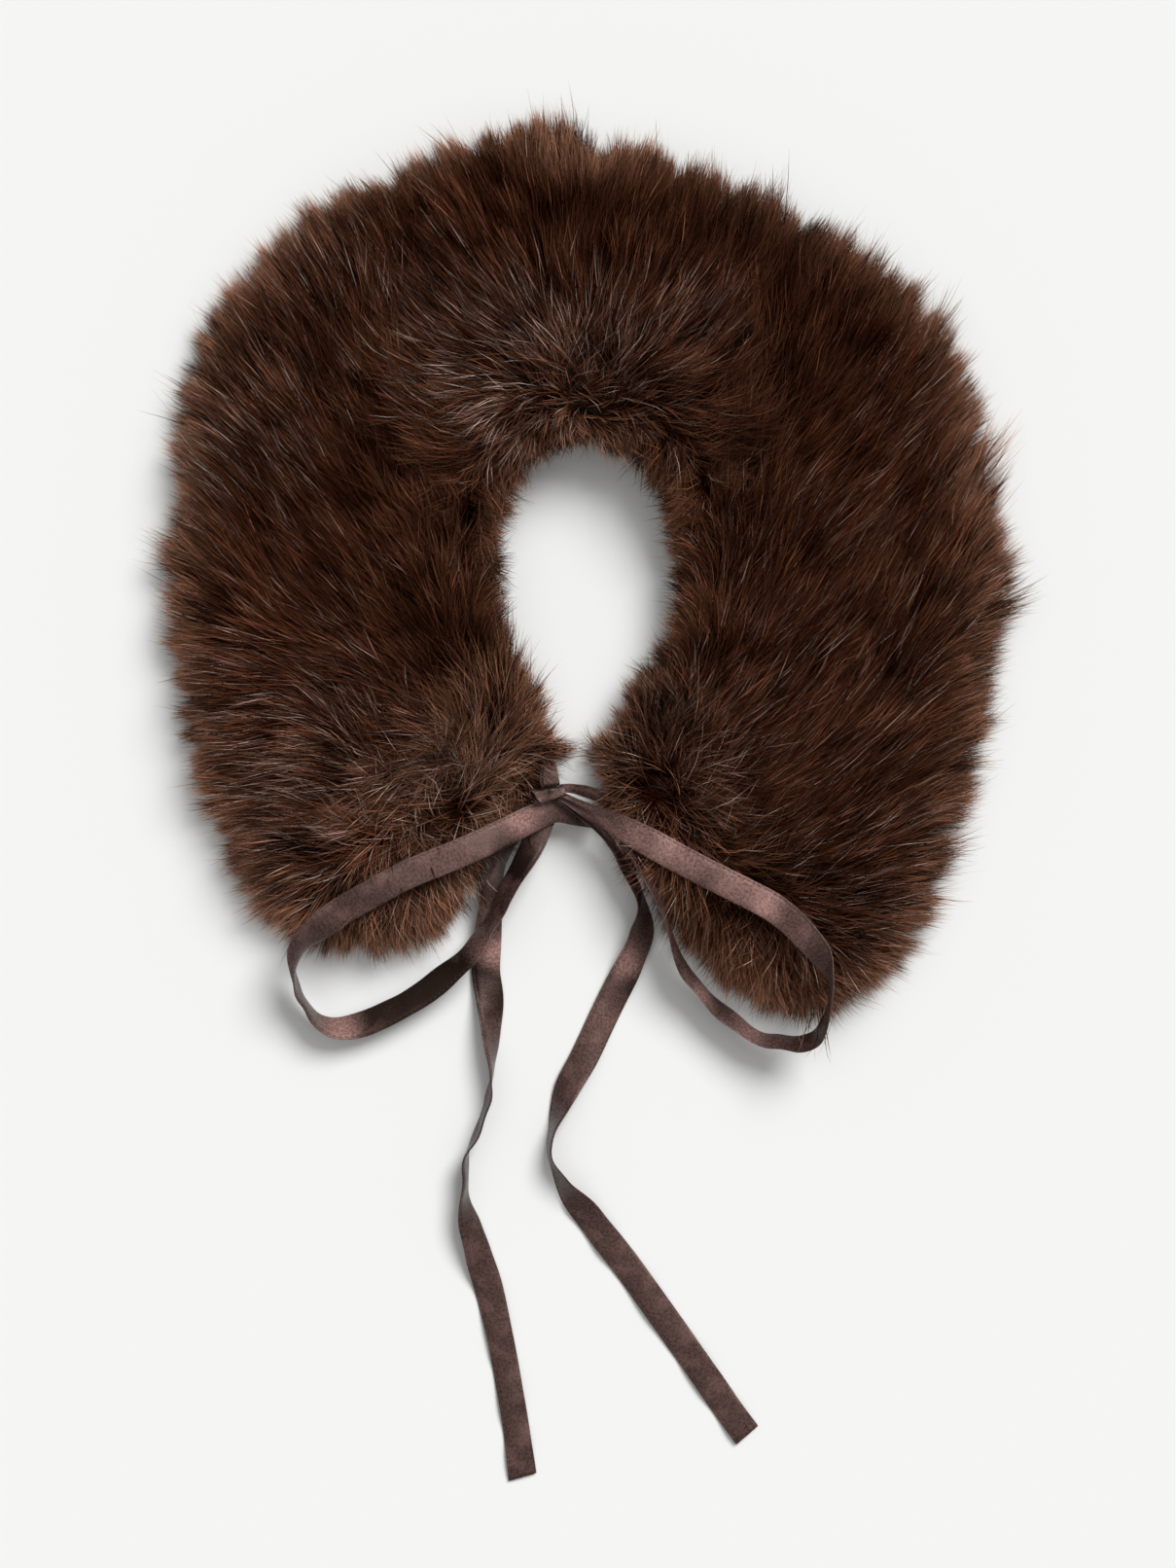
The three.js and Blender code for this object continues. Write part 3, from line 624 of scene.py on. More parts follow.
# The knot.
# One turn of the same satin strip, drawn tight over the two loops, so that its whole width runs
# along the bow and its face is creased round the turn.
KNOT_TURN = math.radians(12)
KNOT_HALF_WIDTH = 7.3
KNOT_HALF_DEPTH = (3.9, 2.5)
KNOT_HALF_HEIGHT = (4.0, 3.2)
KNOT_WALL = 0.8
KNOT_LEAN = 2.2


def knot_surface():
    """A turn of cloth: round the turn an ellipse flattened by a power, along the bow its two half axes
    narrow from left to right, with creases that run round and lean a little."""
    turn, along = np.meshgrid(np.linspace(0, 2 * math.pi, 72, endpoint=False), np.linspace(-1, 1, 36))
    share = (along + 1) / 2
    depth = KNOT_HALF_DEPTH[0] * (1 - share) + KNOT_HALF_DEPTH[1] * share
    height = KNOT_HALF_HEIGHT[0] * (1 - share) + KNOT_HALF_HEIGHT[1] * share
    crease = 0.10 * np.sin(5.5 * along + 0.9 * np.sin(turn))
    crease = crease + 0.06 * np.sin(11.0 * along - 1.7 * np.cos(turn))
    pinch = 1 - 0.05 * np.abs(along) ** 4
    flattened = np.sign(np.cos(turn)) * np.abs(np.cos(turn)) ** 0.6
    raised = np.sign(np.sin(turn)) * np.abs(np.sin(turn)) ** 0.6
    across = flattened * (depth * pinch + crease)
    up = raised * (height * pinch + crease)
    length = KNOT_HALF_WIDTH * along - KNOT_LEAN * np.cos(turn) * (1 - share)
    bow = np.array([math.cos(KNOT_TURN), math.sin(KNOT_TURN), 0])
    square = np.array([-math.sin(KNOT_TURN), math.cos(KNOT_TURN), 0])
    points = KNOT_PLACE + length[..., None] * bow + across[..., None] * square
    points = points + up[..., None] * np.array([0, 0, 1])
    flat = np.stack([KNOT_HALF_WIDTH * (along + 1), turn * 4.2], -1)
    return points.reshape(-1, 3), grid_faces(*turn.shape, wrap=True), flat.reshape(-1, 2)


knot_points, knot_quads, knot_flat = knot_surface()
knot = mesh_of("knot_wrap", in_frame(knot_points), knot_quads)
add_flat_map(knot, knot_flat)
paint_light_spots(knot, knot_points)
knot.data.materials.append(satin)
wall = knot.modifiers.new("wall", "SOLIDIFY")
wall.thickness = KNOT_WALL * MM
wall.offset = -1
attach(knot, "root")
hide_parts("bow_knot")


# The fur cloth.
# Two halves of knitted backing with long dark pile, seamed at the centre back, over an under collar
# of the same cloth. The layers are sewn together round the edge, a little inside the tips of the hair.
NECK_CENTRE = np.array([0.0, 109.0])
BACK_HUMP = {"x": -4.0, "y": 192.0, "rise": 15.0, "reach": 58.0}
CLOTH_THICKNESS = 1.6
UNDER_THICKNESS = 3.0
UNDER_LIFT = 0.4
OUTER_INSET = 19.0
FRONT_INSET = 9.0
NECK_INSET = 7.0
UNDER_INSET = 13.0
UNDER_FRONT_INSET = 7.0
FRONT_STARTS = (0.62, 0.75)
SEAM_SHARE = 0.09
NARROWEST_CLOTH = 2.0
SEAM_PLACE = 4.0
PILE_DEPTH = 20.0
EDGE_CLOTH_HEIGHT = 5.5
BACKING_SHADE = (0.018, 0.009, 0.006)

# Each half from the centre back to its front corner: the bearing from +X about the neck centre in
# degrees, the radii of the neck outline and the outer one, the height of the pile, and the height of
# the hair tips at the neck.
LEFT_SECTIONS = [
    (90.0, 60, 202, 40, 26),
    (97.0, 60, 222, 40, 26),
    (112.0, 60, 218, 39, 23),
    (130.0, 55, 221, 38, 18),
    (150.0, 49, 221, 38, 14),
    (170.0, 46, 207, 38, 12),
    (190.0, 46, 208, 38, 12),
    (210.0, 49, 219, 37, 12),
    (224.0, 52, 230, 36, 12),
    (233.0, 54, 230, 35, 12),
    (240.0, 59, 219, 34, 11),
    (245.9, 64, 195, 33, 11),
    (249.0, 67, 173, 32, 11),
    (250.2, 69, 150, 32, 10),
    (252.0, 72, 127, 31, 10),
    (255.4, 77, 108, 30, 10),
    (259.2, 84, 90, 30, 10),
]
RIGHT_SECTIONS = [
    (90.0, 60, 202, 40, 26),
    (85.0, 60, 209, 40, 25),
    (70.0, 57, 201, 39, 21),
    (50.0, 50, 205, 38, 15),
    (30.0, 44, 208, 38, 12),
    (12.0, 41, 201, 38, 12),
    (0.0, 41, 207, 38, 12),
    (-12.0, 41, 202, 38, 12),
    (-24.0, 44, 209, 38, 12),
    (-38.0, 48, 221, 37, 12),
    (-49.1, 52, 242, 36, 12),
    (-60.3, 55, 248, 35, 12),
    (-67.1, 58, 235, 34, 11),
    (-72.4, 63, 207, 33, 11),
    (-76.4, 67, 178, 33, 11),
    (-79.4, 71, 156, 32, 10),
    (-82.6, 76, 138, 31, 10),
    (-85.4, 81, 116, 30, 10),
    (-88.0, 85, 91, 30, 10),
]


def outline(rows, places, column):
    """Points of an outline: the neck centre plus the column's radius along each bearing."""
    bearing = np.radians(between_rows([row[0] for row in rows], places))
    radius = between_rows([row[column] for row in rows], places)
    return NECK_CENTRE + radius[:, None] * np.stack([np.cos(bearing), np.sin(bearing)], -1)


def equal_places(rows, count):
    """Places along a table that cut its outer outline into equal steps."""
    fine = np.linspace(0, len(rows) - 1, 2000)
    line = outline(rows, fine, 2)
    run = np.concatenate([[0], np.cumsum(np.linalg.norm(np.diff(line, axis=0), axis=1))])
    return np.interp(np.linspace(0, run[-1], count), run, fine)


def smooth_step(values, start, end):
    """0 below the start, 1 above the end, and a smooth rise between them."""
    t = np.clip((values - start) / (end - start), 0, 1)
    return t * t * (3 - 2 * t)


def drawn_in(line, turn, outwards, inset):
    """An outline moved square to itself into the cloth, and along the seam itself near the centre back."""
    along = unit(np.gradient(line, axis=0))
    square = np.stack([-along[:, 1], along[:, 0]], -1) * turn
    seam = np.clip(1 - np.arange(len(line)) / (SEAM_SHARE * len(line)), 0, 1)[:, None]
    radial = unit(line - NECK_CENTRE) * outwards
    return line + np.reshape(inset, (-1, 1)) * unit(square * (1 - seam) + radial * seam)


def distance_to(line, points):
    """The shortest distance from each point to a line drawn through many points."""
    start, along = line[:-1], np.diff(line, axis=0)
    offset = points[:, None, :] - start[None]
    share = np.clip((offset * along).sum(-1) / np.maximum((along**2).sum(-1), 1e-9), 0, 1)
    return np.linalg.norm(offset - share[..., None] * along, axis=-1).min(1)


def quarter_round(distance, reach):
    """0 at an edge, 1 from the reach inwards, along a quarter of a circle."""
    q = np.clip(distance / reach, 0, 1)
    return np.sqrt(1 - (1 - q) ** 2)


def cloth_grid(rows, turn, outer_inset, front_inset, neck_inset, count, columns):
    """The cloth of one half as a grid: straight lines from the neck outline to the outer one, both drawn
    in, up to the place where they come close to each other. With it go its height, the distances from its
    two edges, how much of it is front edge, and the direction from the neck outwards."""
    places = equal_places(rows, count)
    outer_line, neck_line = outline(rows, places, 2), outline(rows, places, 1)
    front = smooth_step(places / (len(rows) - 1), *FRONT_STARTS)
    inset = outer_inset + (front_inset - outer_inset) * front
    outer = drawn_in(outer_line, turn, -1, inset)
    neck = drawn_in(neck_line, -turn, 1, np.full(count, neck_inset))
    apart = np.linalg.norm(outer - neck, axis=1) > NARROWEST_CLOTH
    end = count if apart.all() else int(np.argmin(apart))
    share = np.linspace(0, 1, columns)[None, :, None]
    plan = neck[:end, None, :] * (1 - share) + outer[:end, None, :] * share
    near_seam = np.exp(-((plan[..., 0] / 30) ** 2)) * smooth_step(plan[..., 1], 235, 300)
    plan = plan + np.stack([SEAM_PLACE * near_seam, np.zeros_like(near_seam)], -1)
    crest = between_rows([row[3] for row in rows], places[:end])[:, None]
    lip = between_rows([row[4] for row in rows], places[:end])[:, None]
    spots = plan.reshape(-1, 2)
    from_outer = distance_to(outer_line, spots).reshape(end, columns)
    from_neck = distance_to(neck_line, spots).reshape(end, columns)
    away = np.hypot(plan[..., 0] - BACK_HUMP["x"], plan[..., 1] - BACK_HUMP["y"]) / BACK_HUMP["reach"]
    middle = crest - PILE_DEPTH + BACK_HUMP["rise"] * np.exp(-(away**2))
    neck_height = EDGE_CLOTH_HEIGHT + 0.6 * (lip - 10)
    from_outer = np.maximum(from_outer - inset[:end, None], 0)
    from_neck = np.maximum(from_neck - neck_inset, 0)
    height = np.minimum(
        EDGE_CLOTH_HEIGHT + (middle - EDGE_CLOTH_HEIGHT) * quarter_round(from_outer, 34),
        neck_height + (middle - neck_height) * quarter_round(from_neck, 26),
    )
    outwards = np.broadcast_to(unit(outer - neck)[:end, None, :], plan.shape)
    return plan, height, from_outer, from_neck, np.broadcast_to(front[:end, None], height.shape), outwards


backing, shade = new_material("fur_backing")
spot = shade.node("ShaderNodeTexCoord", output=3)
fuzz = shade.node("ShaderNodeTexNoise", (), {"Vector": spot, "Scale": 900.0, "Detail": 3.0})
fuzz_bump = shade.node("ShaderNodeBump", (), {"Strength": 0.6, "Distance": 0.0006, "Height": fuzz})
finish_material(
    shade,
    {
        "Base Color": fuzz.mix((*BACKING_SHADE, 1), (0.030, 0.015, 0.010, 1)),
        "Roughness": 0.95,
        "Specular IOR Level": 0.1,
        "Normal": fuzz_bump,
    },
)

halves = {
    "left": cloth_grid(LEFT_SECTIONS, 1, OUTER_INSET, FRONT_INSET, NECK_INSET, 220, 30),
    "right": cloth_grid(RIGHT_SECTIONS, -1, OUTER_INSET, FRONT_INSET, NECK_INSET, 220, 30),
}
for side, (plan, height, *_) in halves.items():
    points = np.concatenate([plan, height[..., None]], -1)
    quads = grid_faces(*height.shape)
    if side == "right":
        quads = quads[:, ::-1]
    cloth = mesh_of(side + "_fur_cloth", in_frame(points.reshape(-1, 3)), quads[:, ::-1])
    wall = cloth.modifiers.new("wall", "SOLIDIFY")
    wall.thickness = CLOTH_THICKNESS * MM
    wall.offset = -1
    cloth.data.materials.append(backing)
    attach(cloth, "root")
    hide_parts(side + "_upper_fur")

under_left = cloth_grid(LEFT_SECTIONS, 1, UNDER_INSET, UNDER_FRONT_INSET, UNDER_INSET, 120, 12)
under_right = cloth_grid(RIGHT_SECTIONS, -1, UNDER_INSET, UNDER_FRONT_INSET, UNDER_INSET, 120, 12)
under_plan = np.concatenate([under_right[0][::-1], under_left[0][1:]])
under_height = np.full(under_plan.shape[:2], UNDER_THICKNESS - UNDER_LIFT)
under_points = np.concatenate([under_plan, under_height[..., None]], -1)
under_cloth = mesh_of(
    "under_fur_cloth", in_frame(under_points.reshape(-1, 3)), grid_faces(*under_height.shape)[:, ::-1]
)
wall = under_cloth.modifiers.new("wall", "SOLIDIFY")
wall.thickness = (UNDER_THICKNESS - 2 * UNDER_LIFT) * MM
wall.offset = -1
under_cloth.data.materials.append(backing)
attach(under_cloth, "root")
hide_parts("under_fur_panel")


# The pile.
# Soft fibres of 20 to 40 mm that leave the backing steeply, bend over and lie in locks, reddish brown.
# Their colour darkens towards the root as painted shade in the depth of the pile, and lightens at the
# tips round the edges as painted light through the thin tips. They are brushed outwards to the edge
# and up the back of the neck.
PILE_LENGTH = 39.0
ROOT_WIDTH = 0.41
LOCK_PITCH = 3.4
TUFT_PITCH = 11.0
STRANDS_PER_HALF = 74000
EDGE_STRANDS = 24000
# The root's colour is painted shade in the depth of the pile, the tip's colour is brought in round the edges
# as painted light through the thin tips, and the pale glint colour is a painted glint on shiny strands.
ROOT_SHADE = np.array([0.0025, 0.0009, 0.0005])
MID_SHADE = np.array([0.047, 0.0082, 0.0012])
PALE_SHADE = np.array([0.056, 0.0220, 0.0120])
TIP_SHADE = np.array([0.480, 0.240, 0.145])
PAINTED_GLINT_SHADE = np.array([0.950, 0.690, 0.590])
TONE_SPREAD = 0.60
DISORDER = 110.0
STRAY_SHARE = 0.07
SHINY_SHARE = 0.05
OUTLINE_STEPS = 64

# Where the fibres catch the light, which brings more glossy strands and painted light in their colour, or
# turn from it where the strength is negative, which paints shade; and where they stand up: a place, a
# reach and a strength.
GLOSS_AND_PAINTED_LIGHT = np.array([
    (-186, 142, 22, 0.6), (-145, 156, 28, 0.5), (-170, 55, 22, 0.4), (-131, 19, 34, 0.6), (-74, 9, 30, 0.6),
    (-120, -25, 34, 0.4), (-45, 206, 34, 0.8), (40, 222, 22, 0.6), (-3, 199, 28, 0.5), (187, 142, 22, 0.25),
    (130, -70, 32, 0.4), (40, 14, 32, 0.4), (-180, 250, 30, 0.3), (200, 60, 25, 0.2), (-120, 235, 26, 0.4),
    (135, 150, 60, 0.12), (110, 10, 60, 0.2), (92, 268, 42, -1.1), (30, 262, 26, -0.7), (-20, 255, 22, -0.5),
    (-80, 150, 26, -0.6), (-60, 60, 24, -0.5), (88, 180, 26, -0.5),
], float)
STANDING = np.array([(-72, 4, 34, 0.6), (36, 12, 24, 0.4), (-10, 192, 16, 0.3), (95, -80, 24, 0.3)], float)

# How far the tufts stand out past the outer outline: the bearing about the neck centre in degrees and
# the distance in millimetres.
TUFTS_PAST = np.array([
    (-89, 4), (-84, 3), (-78, 1), (-68, -3), (-62, -7), (-50, -2), (-36, 6), (-26, 6), (-16, 11), (-10, -1),
    (-4, 7), (4, -1), (10, -1), (14, 8), (19, 14), (25, 12), (32, 0), (38, 12), (44, 0), (50, 7), (56, 0),
    (59, -11), (64, 6), (70, -3), (74, 6), (78, -5),
    (84, 2), (90, 9), (98, -4), (106, -7), (110, 3), (118, -7), (124, 1), (138, 4), (150, 0), (160, 5),
    (169, -6), (176, 5), (184, -1), (192, -6), (204, -4), (210, -2), (215, -6), (225, 6), (234, -3), (240, -9),
    (246, -2), (252.5, -3), (254.5, 8), (258, 11), (262, 2), (266, 0), (274, 0), (298, -4),
], float)

# The photo's scale in millimetres a pixel, its pixel at the middle of the wrap, and how far that
# pixel is from the tables' origin.
PHOTO_SCALE = 0.475
PHOTO_MIDDLE = (607.5, 819.0)
PHOTO_SHIFT = (0.86, 0.17)

# Where the fur is brushed, read from the photo: a place in its pixels, across and down, and the
# direction of the tips there, in degrees from +X.
BRUSHED = np.array([
    # the left half from the centre back down to the parting
    (606, 139, 118), (590, 140, 112), (546, 160, 100), (511, 195, 118), (500, 150, 112), (441, 178, 125),
    (470, 240, 120), (520, 250, 112), (371, 230, 125), (330, 210, 128), (300, 265, 128), (265, 318, 130),
    (335, 300, 118), (388, 300, 112), (423, 300, 115), (220, 330, 135), (195, 371, 135), (300, 400, 122),
    (340, 430, 116), (371, 353, 108), (406, 353, 100), (240, 420, 128), (178, 441, 165), (213, 458, 150),
    (423, 423, 105), (318, 476, 135), (265, 511, 125), (336, 529, 138), (406, 529, 122), (441, 494, 100),
    (458, 546, 100), (230, 546, 130), (213, 581, 140), (178, 599, 162), (178, 566, 165), (300, 581, 125),
    (371, 581, 130), (476, 581, 108), (178, 625, 168), (195, 660, 172), (213, 608, 140), (248, 608, 125),
    (300, 625, 128), (336, 590, 130), (388, 625, 128), (458, 608, 110), (423, 678, 133), (493, 678, 105),
    # below the parting
    (336, 678, 165), (265, 688, 178), (213, 695, 175), (188, 716, 175), (213, 748, 180), (300, 744, 198),
    (353, 730, 125), (388, 758, 128), (441, 730, 150), (476, 730, 150), (476, 765, 140), (423, 765, 160),
    (265, 786, 188), (336, 800, 172), (371, 822, 170), (406, 800, 168), (300, 853, 178), (248, 857, 180),
    (353, 853, 168), (265, 888, 180), (300, 899, 188), (248, 923, 200), (272, 941, 212), (300, 969, 238),
    (336, 990, 262), (364, 973, 275), (399, 969, 300), (388, 941, 290), (441, 941, 315), (469, 913, 305),
    (400, 900, 280), (440, 880, 280), (480, 860, 290), (520, 830, 300), (540, 800, 330), (476, 818, 70),
    (511, 800, 95),
    # the left neck edge, from the front corner up
    (574, 765, 5), (571, 748, 35), (546, 748, 50), (529, 730, 85), (546, 678, 65), (528, 660, 75),
    (511, 643, 70), (518, 594, 12), (518, 576, 2), (504, 562, 345), (528, 557, 315), (521, 541, 320),
    (500, 511, 262),
    # the back of the neck
    (599, 400, 92), (572, 400, 112), (629, 394, 72), (545, 413, 165), (654, 411, 35), (597, 377, 92),
    (546, 300, 115), (581, 265, 95), (616, 300, 80), (590, 330, 95), (560, 350, 120), (540, 360, 150),
    (476, 300, 135), (493, 353, 145), (441, 388, 168), (458, 423, 182), (493, 406, 186), (521, 399, 200),
    (476, 441, 198), (493, 469, 230), (546, 441, 245), (581, 441, 265), (610, 464, 265), (632, 464, 278),
    (649, 441, 318), (681, 448, 305), (665, 480, 262), (691, 496, 272), (730, 441, 335), (665, 399, 25),
    (698, 383, 30), (730, 409, 18), (714, 366, 32), (681, 366, 48), (698, 318, 50), (665, 318, 65),
    (649, 285, 75),
    # the right half from the centre back down
    (632, 188, 62), (649, 148, 70), (665, 204, 58), (671, 148, 82), (714, 168, 88), (714, 236, 78),
    (746, 184, 82), (763, 236, 78), (782, 197, 75), (821, 210, 70), (828, 243, 55), (828, 269, 80),
    (795, 318, 82), (860, 318, 68), (870, 233, 58), (906, 253, 55), (935, 285, 58), (909, 334, 60),
    (967, 301, 60), (925, 373, 55), (860, 383, 62), (811, 383, 80), (779, 366, 98), (746, 334, 65),
    (763, 415, 88), (746, 464, 82), (997, 366, 58), (1016, 399, 52), (1023, 431, 50), (828, 431, 58),
    (876, 431, 48), (925, 431, 48), (893, 480, 42), (941, 480, 62), (1026, 480, 70), (1032, 529, 42),
    (828, 513, 45), (779, 529, 58), (876, 545, 44), (925, 562, 62), (974, 545, 76), (990, 513, 68),
    (1049, 562, 30), (1052, 584, 28), (740, 529, 90), (746, 571, 85),
    # the right half below that
    (733, 643, 75), (766, 610, 62), (832, 610, 60), (948, 600, 75), (998, 626, 60), (1031, 593, 30),
    (1044, 620, 20), (1025, 643, 20), (1015, 676, 20), (1041, 703, 10), (932, 660, 65), (865, 676, 55),
    (766, 676, 42), (733, 719, 40), (799, 709, 48), (700, 726, 70), (716, 766, 35), (749, 759, 42),
    (749, 786, 25), (716, 809, 8), (799, 776, 45), (932, 759, 40), (882, 809, 52), (1015, 732, 22),
    (1015, 776, 15), (991, 809, 18), (932, 825, 38), (832, 842, 45), (799, 859, 38), (766, 842, 20),
    (981, 859, 5), (899, 859, 40), (832, 892, 28), (899, 908, 18), (965, 908, 5), (948, 958, 358),
    (899, 941, 5), (882, 958, 356), (849, 935, 5), (865, 975, 330), (925, 991, 345), (899, 1018, 325),
    (872, 1038, 315), (859, 1034, 300), (816, 1008, 290), (826, 1048, 270), (799, 1051, 262),
    (782, 975, 275), (766, 1018, 250), (749, 950, 265), (743, 991, 240), (716, 958, 235), (683, 925, 245),
    (683, 892, 230), (650, 850, 235), (640, 830, 225),
    # the right neck edge, from the front corner up
    (617, 799, 175), (620, 772, 145), (627, 746, 130), (650, 759, 110), (673, 776, 95), (660, 703, 135),
    (676, 676, 145), (690, 636, 155), (716, 603, 120), (693, 610, 160), (699, 577, 175), (698, 571, 175),
    (698, 539, 175),
], float)
BRUSHED[:, 0] = np.round((BRUSHED[:, 0] - PHOTO_MIDDLE[0]) * PHOTO_SCALE + PHOTO_SHIFT[0])
BRUSHED[:, 1] = np.round((PHOTO_MIDDLE[1] - BRUSHED[:, 1]) * PHOTO_SCALE + PHOTO_SHIFT[1])


def brushing(places, blur=8.0):
    """The brushed direction at places, as a vector whose length is 1 where the neighbours agree and less
    where they part: a mean of the rows, each weighted by the inverse fourth power of its distance."""
    gap = ((places[:, None, :] - BRUSHED[None, :, :2]) ** 2).sum(-1) + blur**2
    weight = 1 / gap**2
    angle = np.radians(BRUSHED[:, 2])
    return (weight @ np.stack([np.cos(angle), np.sin(angle)], -1)) / weight.sum(1)[:, None]


def scatter(cell, salt):
    """A number between 0 and 1 for each cell of a grid, the same in every run: the fraction of a large
    sine."""
    wave = np.sin(cell[..., 0] * 12.9898 + cell[..., 1] * 78.233 + salt * 37.719) * 43758.5453
    return wave - np.floor(wave)


def nearest_lock(places, pitch):
    """The lock that each place belongs to, as its cell and its centre: of the jittered centres in the
    nine cells around, the nearest one."""
    home = np.floor(places / pitch)
    best = np.full(len(places), np.inf)
    cell_of, centre_of = np.zeros_like(places), np.zeros_like(places)
    for step in [(i, j) for i in (-1, 0, 1) for j in (-1, 0, 1)]:
        cell = home + np.array(step)
        centre = (cell + np.stack([scatter(cell, 1), scatter(cell, 2)], -1)) * pitch
        gap = ((places - centre) ** 2).sum(-1)
        nearer = gap < best
        best = np.where(nearer, gap, best)
        cell_of[nearer] = cell[nearer]
        centre_of[nearer] = centre[nearer]
    return cell_of, centre_of


ALONG = np.array([0.0, 0.34, 0.70, 1.0])
WIDTH_ALONG = np.array([1.0, 1.0, 0.62, 0.0])


def strands(root, towards, order, length, rise_root, rise_tip, draw, clump, bunch):
    """The middle lines of strands. Each leaves its root at one rise above the table and reaches the tip at
    another, in steps of its length. Its tip is drawn towards the middle of its lock by the clump and
    towards the middle of its tuft by the bunch, and it turns with the brushing ahead of it. Where the
    order is less than 1 the locks and strands head more and more at random."""
    lock, lock_centre = nearest_lock(root[:, :2], LOCK_PITCH)
    tuft, tuft_centre = nearest_lock(root[:, :2], TUFT_PITCH)
    swing = 17 * (scatter(tuft, 3) - 0.5) + 14 * (scatter(lock, 4) - 0.5) + draw.normal(0, 5.0, len(root))
    stretch = (0.86 + 0.28 * scatter(tuft, 5)) * (0.84 + 0.32 * scatter(lock, 6))
    stretch = stretch * draw.uniform(0.75, 1.12, len(root))
    lift = 16 * (scatter(tuft, 7) - 0.5) + 16 * (scatter(lock, 8) - 0.5) + draw.normal(0, 4, len(root))
    stray_turn = DISORDER * 2 * (scatter(lock, 11) - 0.5) + draw.normal(0, 0.35 * DISORDER, len(root))
    swing = swing + (1 - order) * stray_turn
    angle = np.arctan2(towards[:, 1], towards[:, 0]) + np.radians(swing)
    ahead = root[:, :2] + 0.8 * length[:, None] * np.stack([np.cos(angle), np.sin(angle)], -1)
    onward = brushing(ahead)
    bend = np.arctan2(onward[:, 1], onward[:, 0]) - np.arctan2(towards[:, 1], towards[:, 0])
    bend = 0.55 * ((bend + math.pi) % (2 * math.pi) - math.pi) + draw.normal(0, 0.10, len(root))
    middle = (ALONG[1:] + ALONG[:-1]) / 2
    rise = rise_root[:, None] + (rise_tip - rise_root)[:, None] * middle**0.75 + lift[:, None] * middle
    rise = np.radians(rise)
    heading = angle[:, None] + bend[:, None] * middle
    step = (length * stretch)[:, None] * np.diff(ALONG)
    steps = np.stack([np.cos(rise) * np.cos(heading), np.cos(rise) * np.sin(heading), np.sin(rise)], -1)
    steps = steps * step[..., None]
    line = np.concatenate([root[:, None, :], root[:, None, :] + np.cumsum(steps, 1)], 1)
    held = np.where(draw.random(len(root)) < 0.10, 0.1, draw.uniform(0.75, 1.15, len(root)))[:, None]
    by_lock = held * np.reshape(clump, (-1, 1)) * (root[:, :2] - lock_centre)
    by_tuft = held * np.reshape(bunch, (-1, 1)) * (lock_centre - tuft_centre)
    line[:, :, :2] -= (by_lock + by_tuft)[:, None, :] * (ALONG**1.4)[None, :, None]
    line[:, :, 2] = np.maximum(line[:, :, 2], 0.4)
    aside = (lock_centre - tuft_centre) * np.stack([-np.sin(angle), np.cos(angle)], -1)
    middle_share = 1 - np.clip(np.abs(aside.sum(-1)) / (0.5 * TUFT_PITCH), 0, 1)
    return line, (lock, tuft, middle_share)


def fitted(line, bundle, rows, column, way, least_from, draw):
    """Strands whose tips are brought to an outline that is ragged by lock and pointed at the middle of
    each tuft. A tip past it is drawn back, and one that starts within least_from of it and ends short of
    it is stretched, both by scaling the strand about its root. way is 1 for the outer outline, else -1."""
    lock, tuft, middle_share = bundle
    edge = outline(rows, np.linspace(0, len(rows) - 1, OUTLINE_STEPS), column)
    bearing, radius = np.array([[row[0], row[column]] for row in rows], float).T
    turn = np.sign(bearing[-1] - bearing[0])

    def past(points):
        offset = points - NECK_CENTRE
        seen = np.degrees(np.arctan2(offset[:, 1], offset[:, 0]))
        seen = 90 + turn * ((turn * (seen - 90) + 90) % 360 - 90)
        limit = np.interp(turn * seen, turn * bearing, radius)
        distance = way * np.sign(np.linalg.norm(offset, axis=1) - limit) * distance_to(edge, points)
        return distance - (np.interp(seen, *TUFTS_PAST.T) if way == 1 else 0)

    start, end = past(line[:, 0, :2]), past(line[:, -1, :2])
    travel = np.maximum(end - start, 3.0)
    stray = draw.random(len(line)) < STRAY_SHARE
    ragged = 2.6 + 5 * (scatter(lock, 12) - 0.5) + 5 * (scatter(tuft, 13) - 0.5) + 10 * (middle_share - 0.5)
    most = ragged + draw.normal(0, 1.4, len(line)) + np.where(stray, draw.uniform(2, 10, len(line)), 0)
    least = most - draw.uniform(0, 10, len(line))
    scale = np.where(end > most, (most - start) / travel, 1.0)
    scale = np.where((start > -least_from) & (end < least), (least - start) / travel, scale)
    return line[:, :1] + (line - line[:, :1]) * np.clip(scale, 0.3, 1.8)[:, None, None]


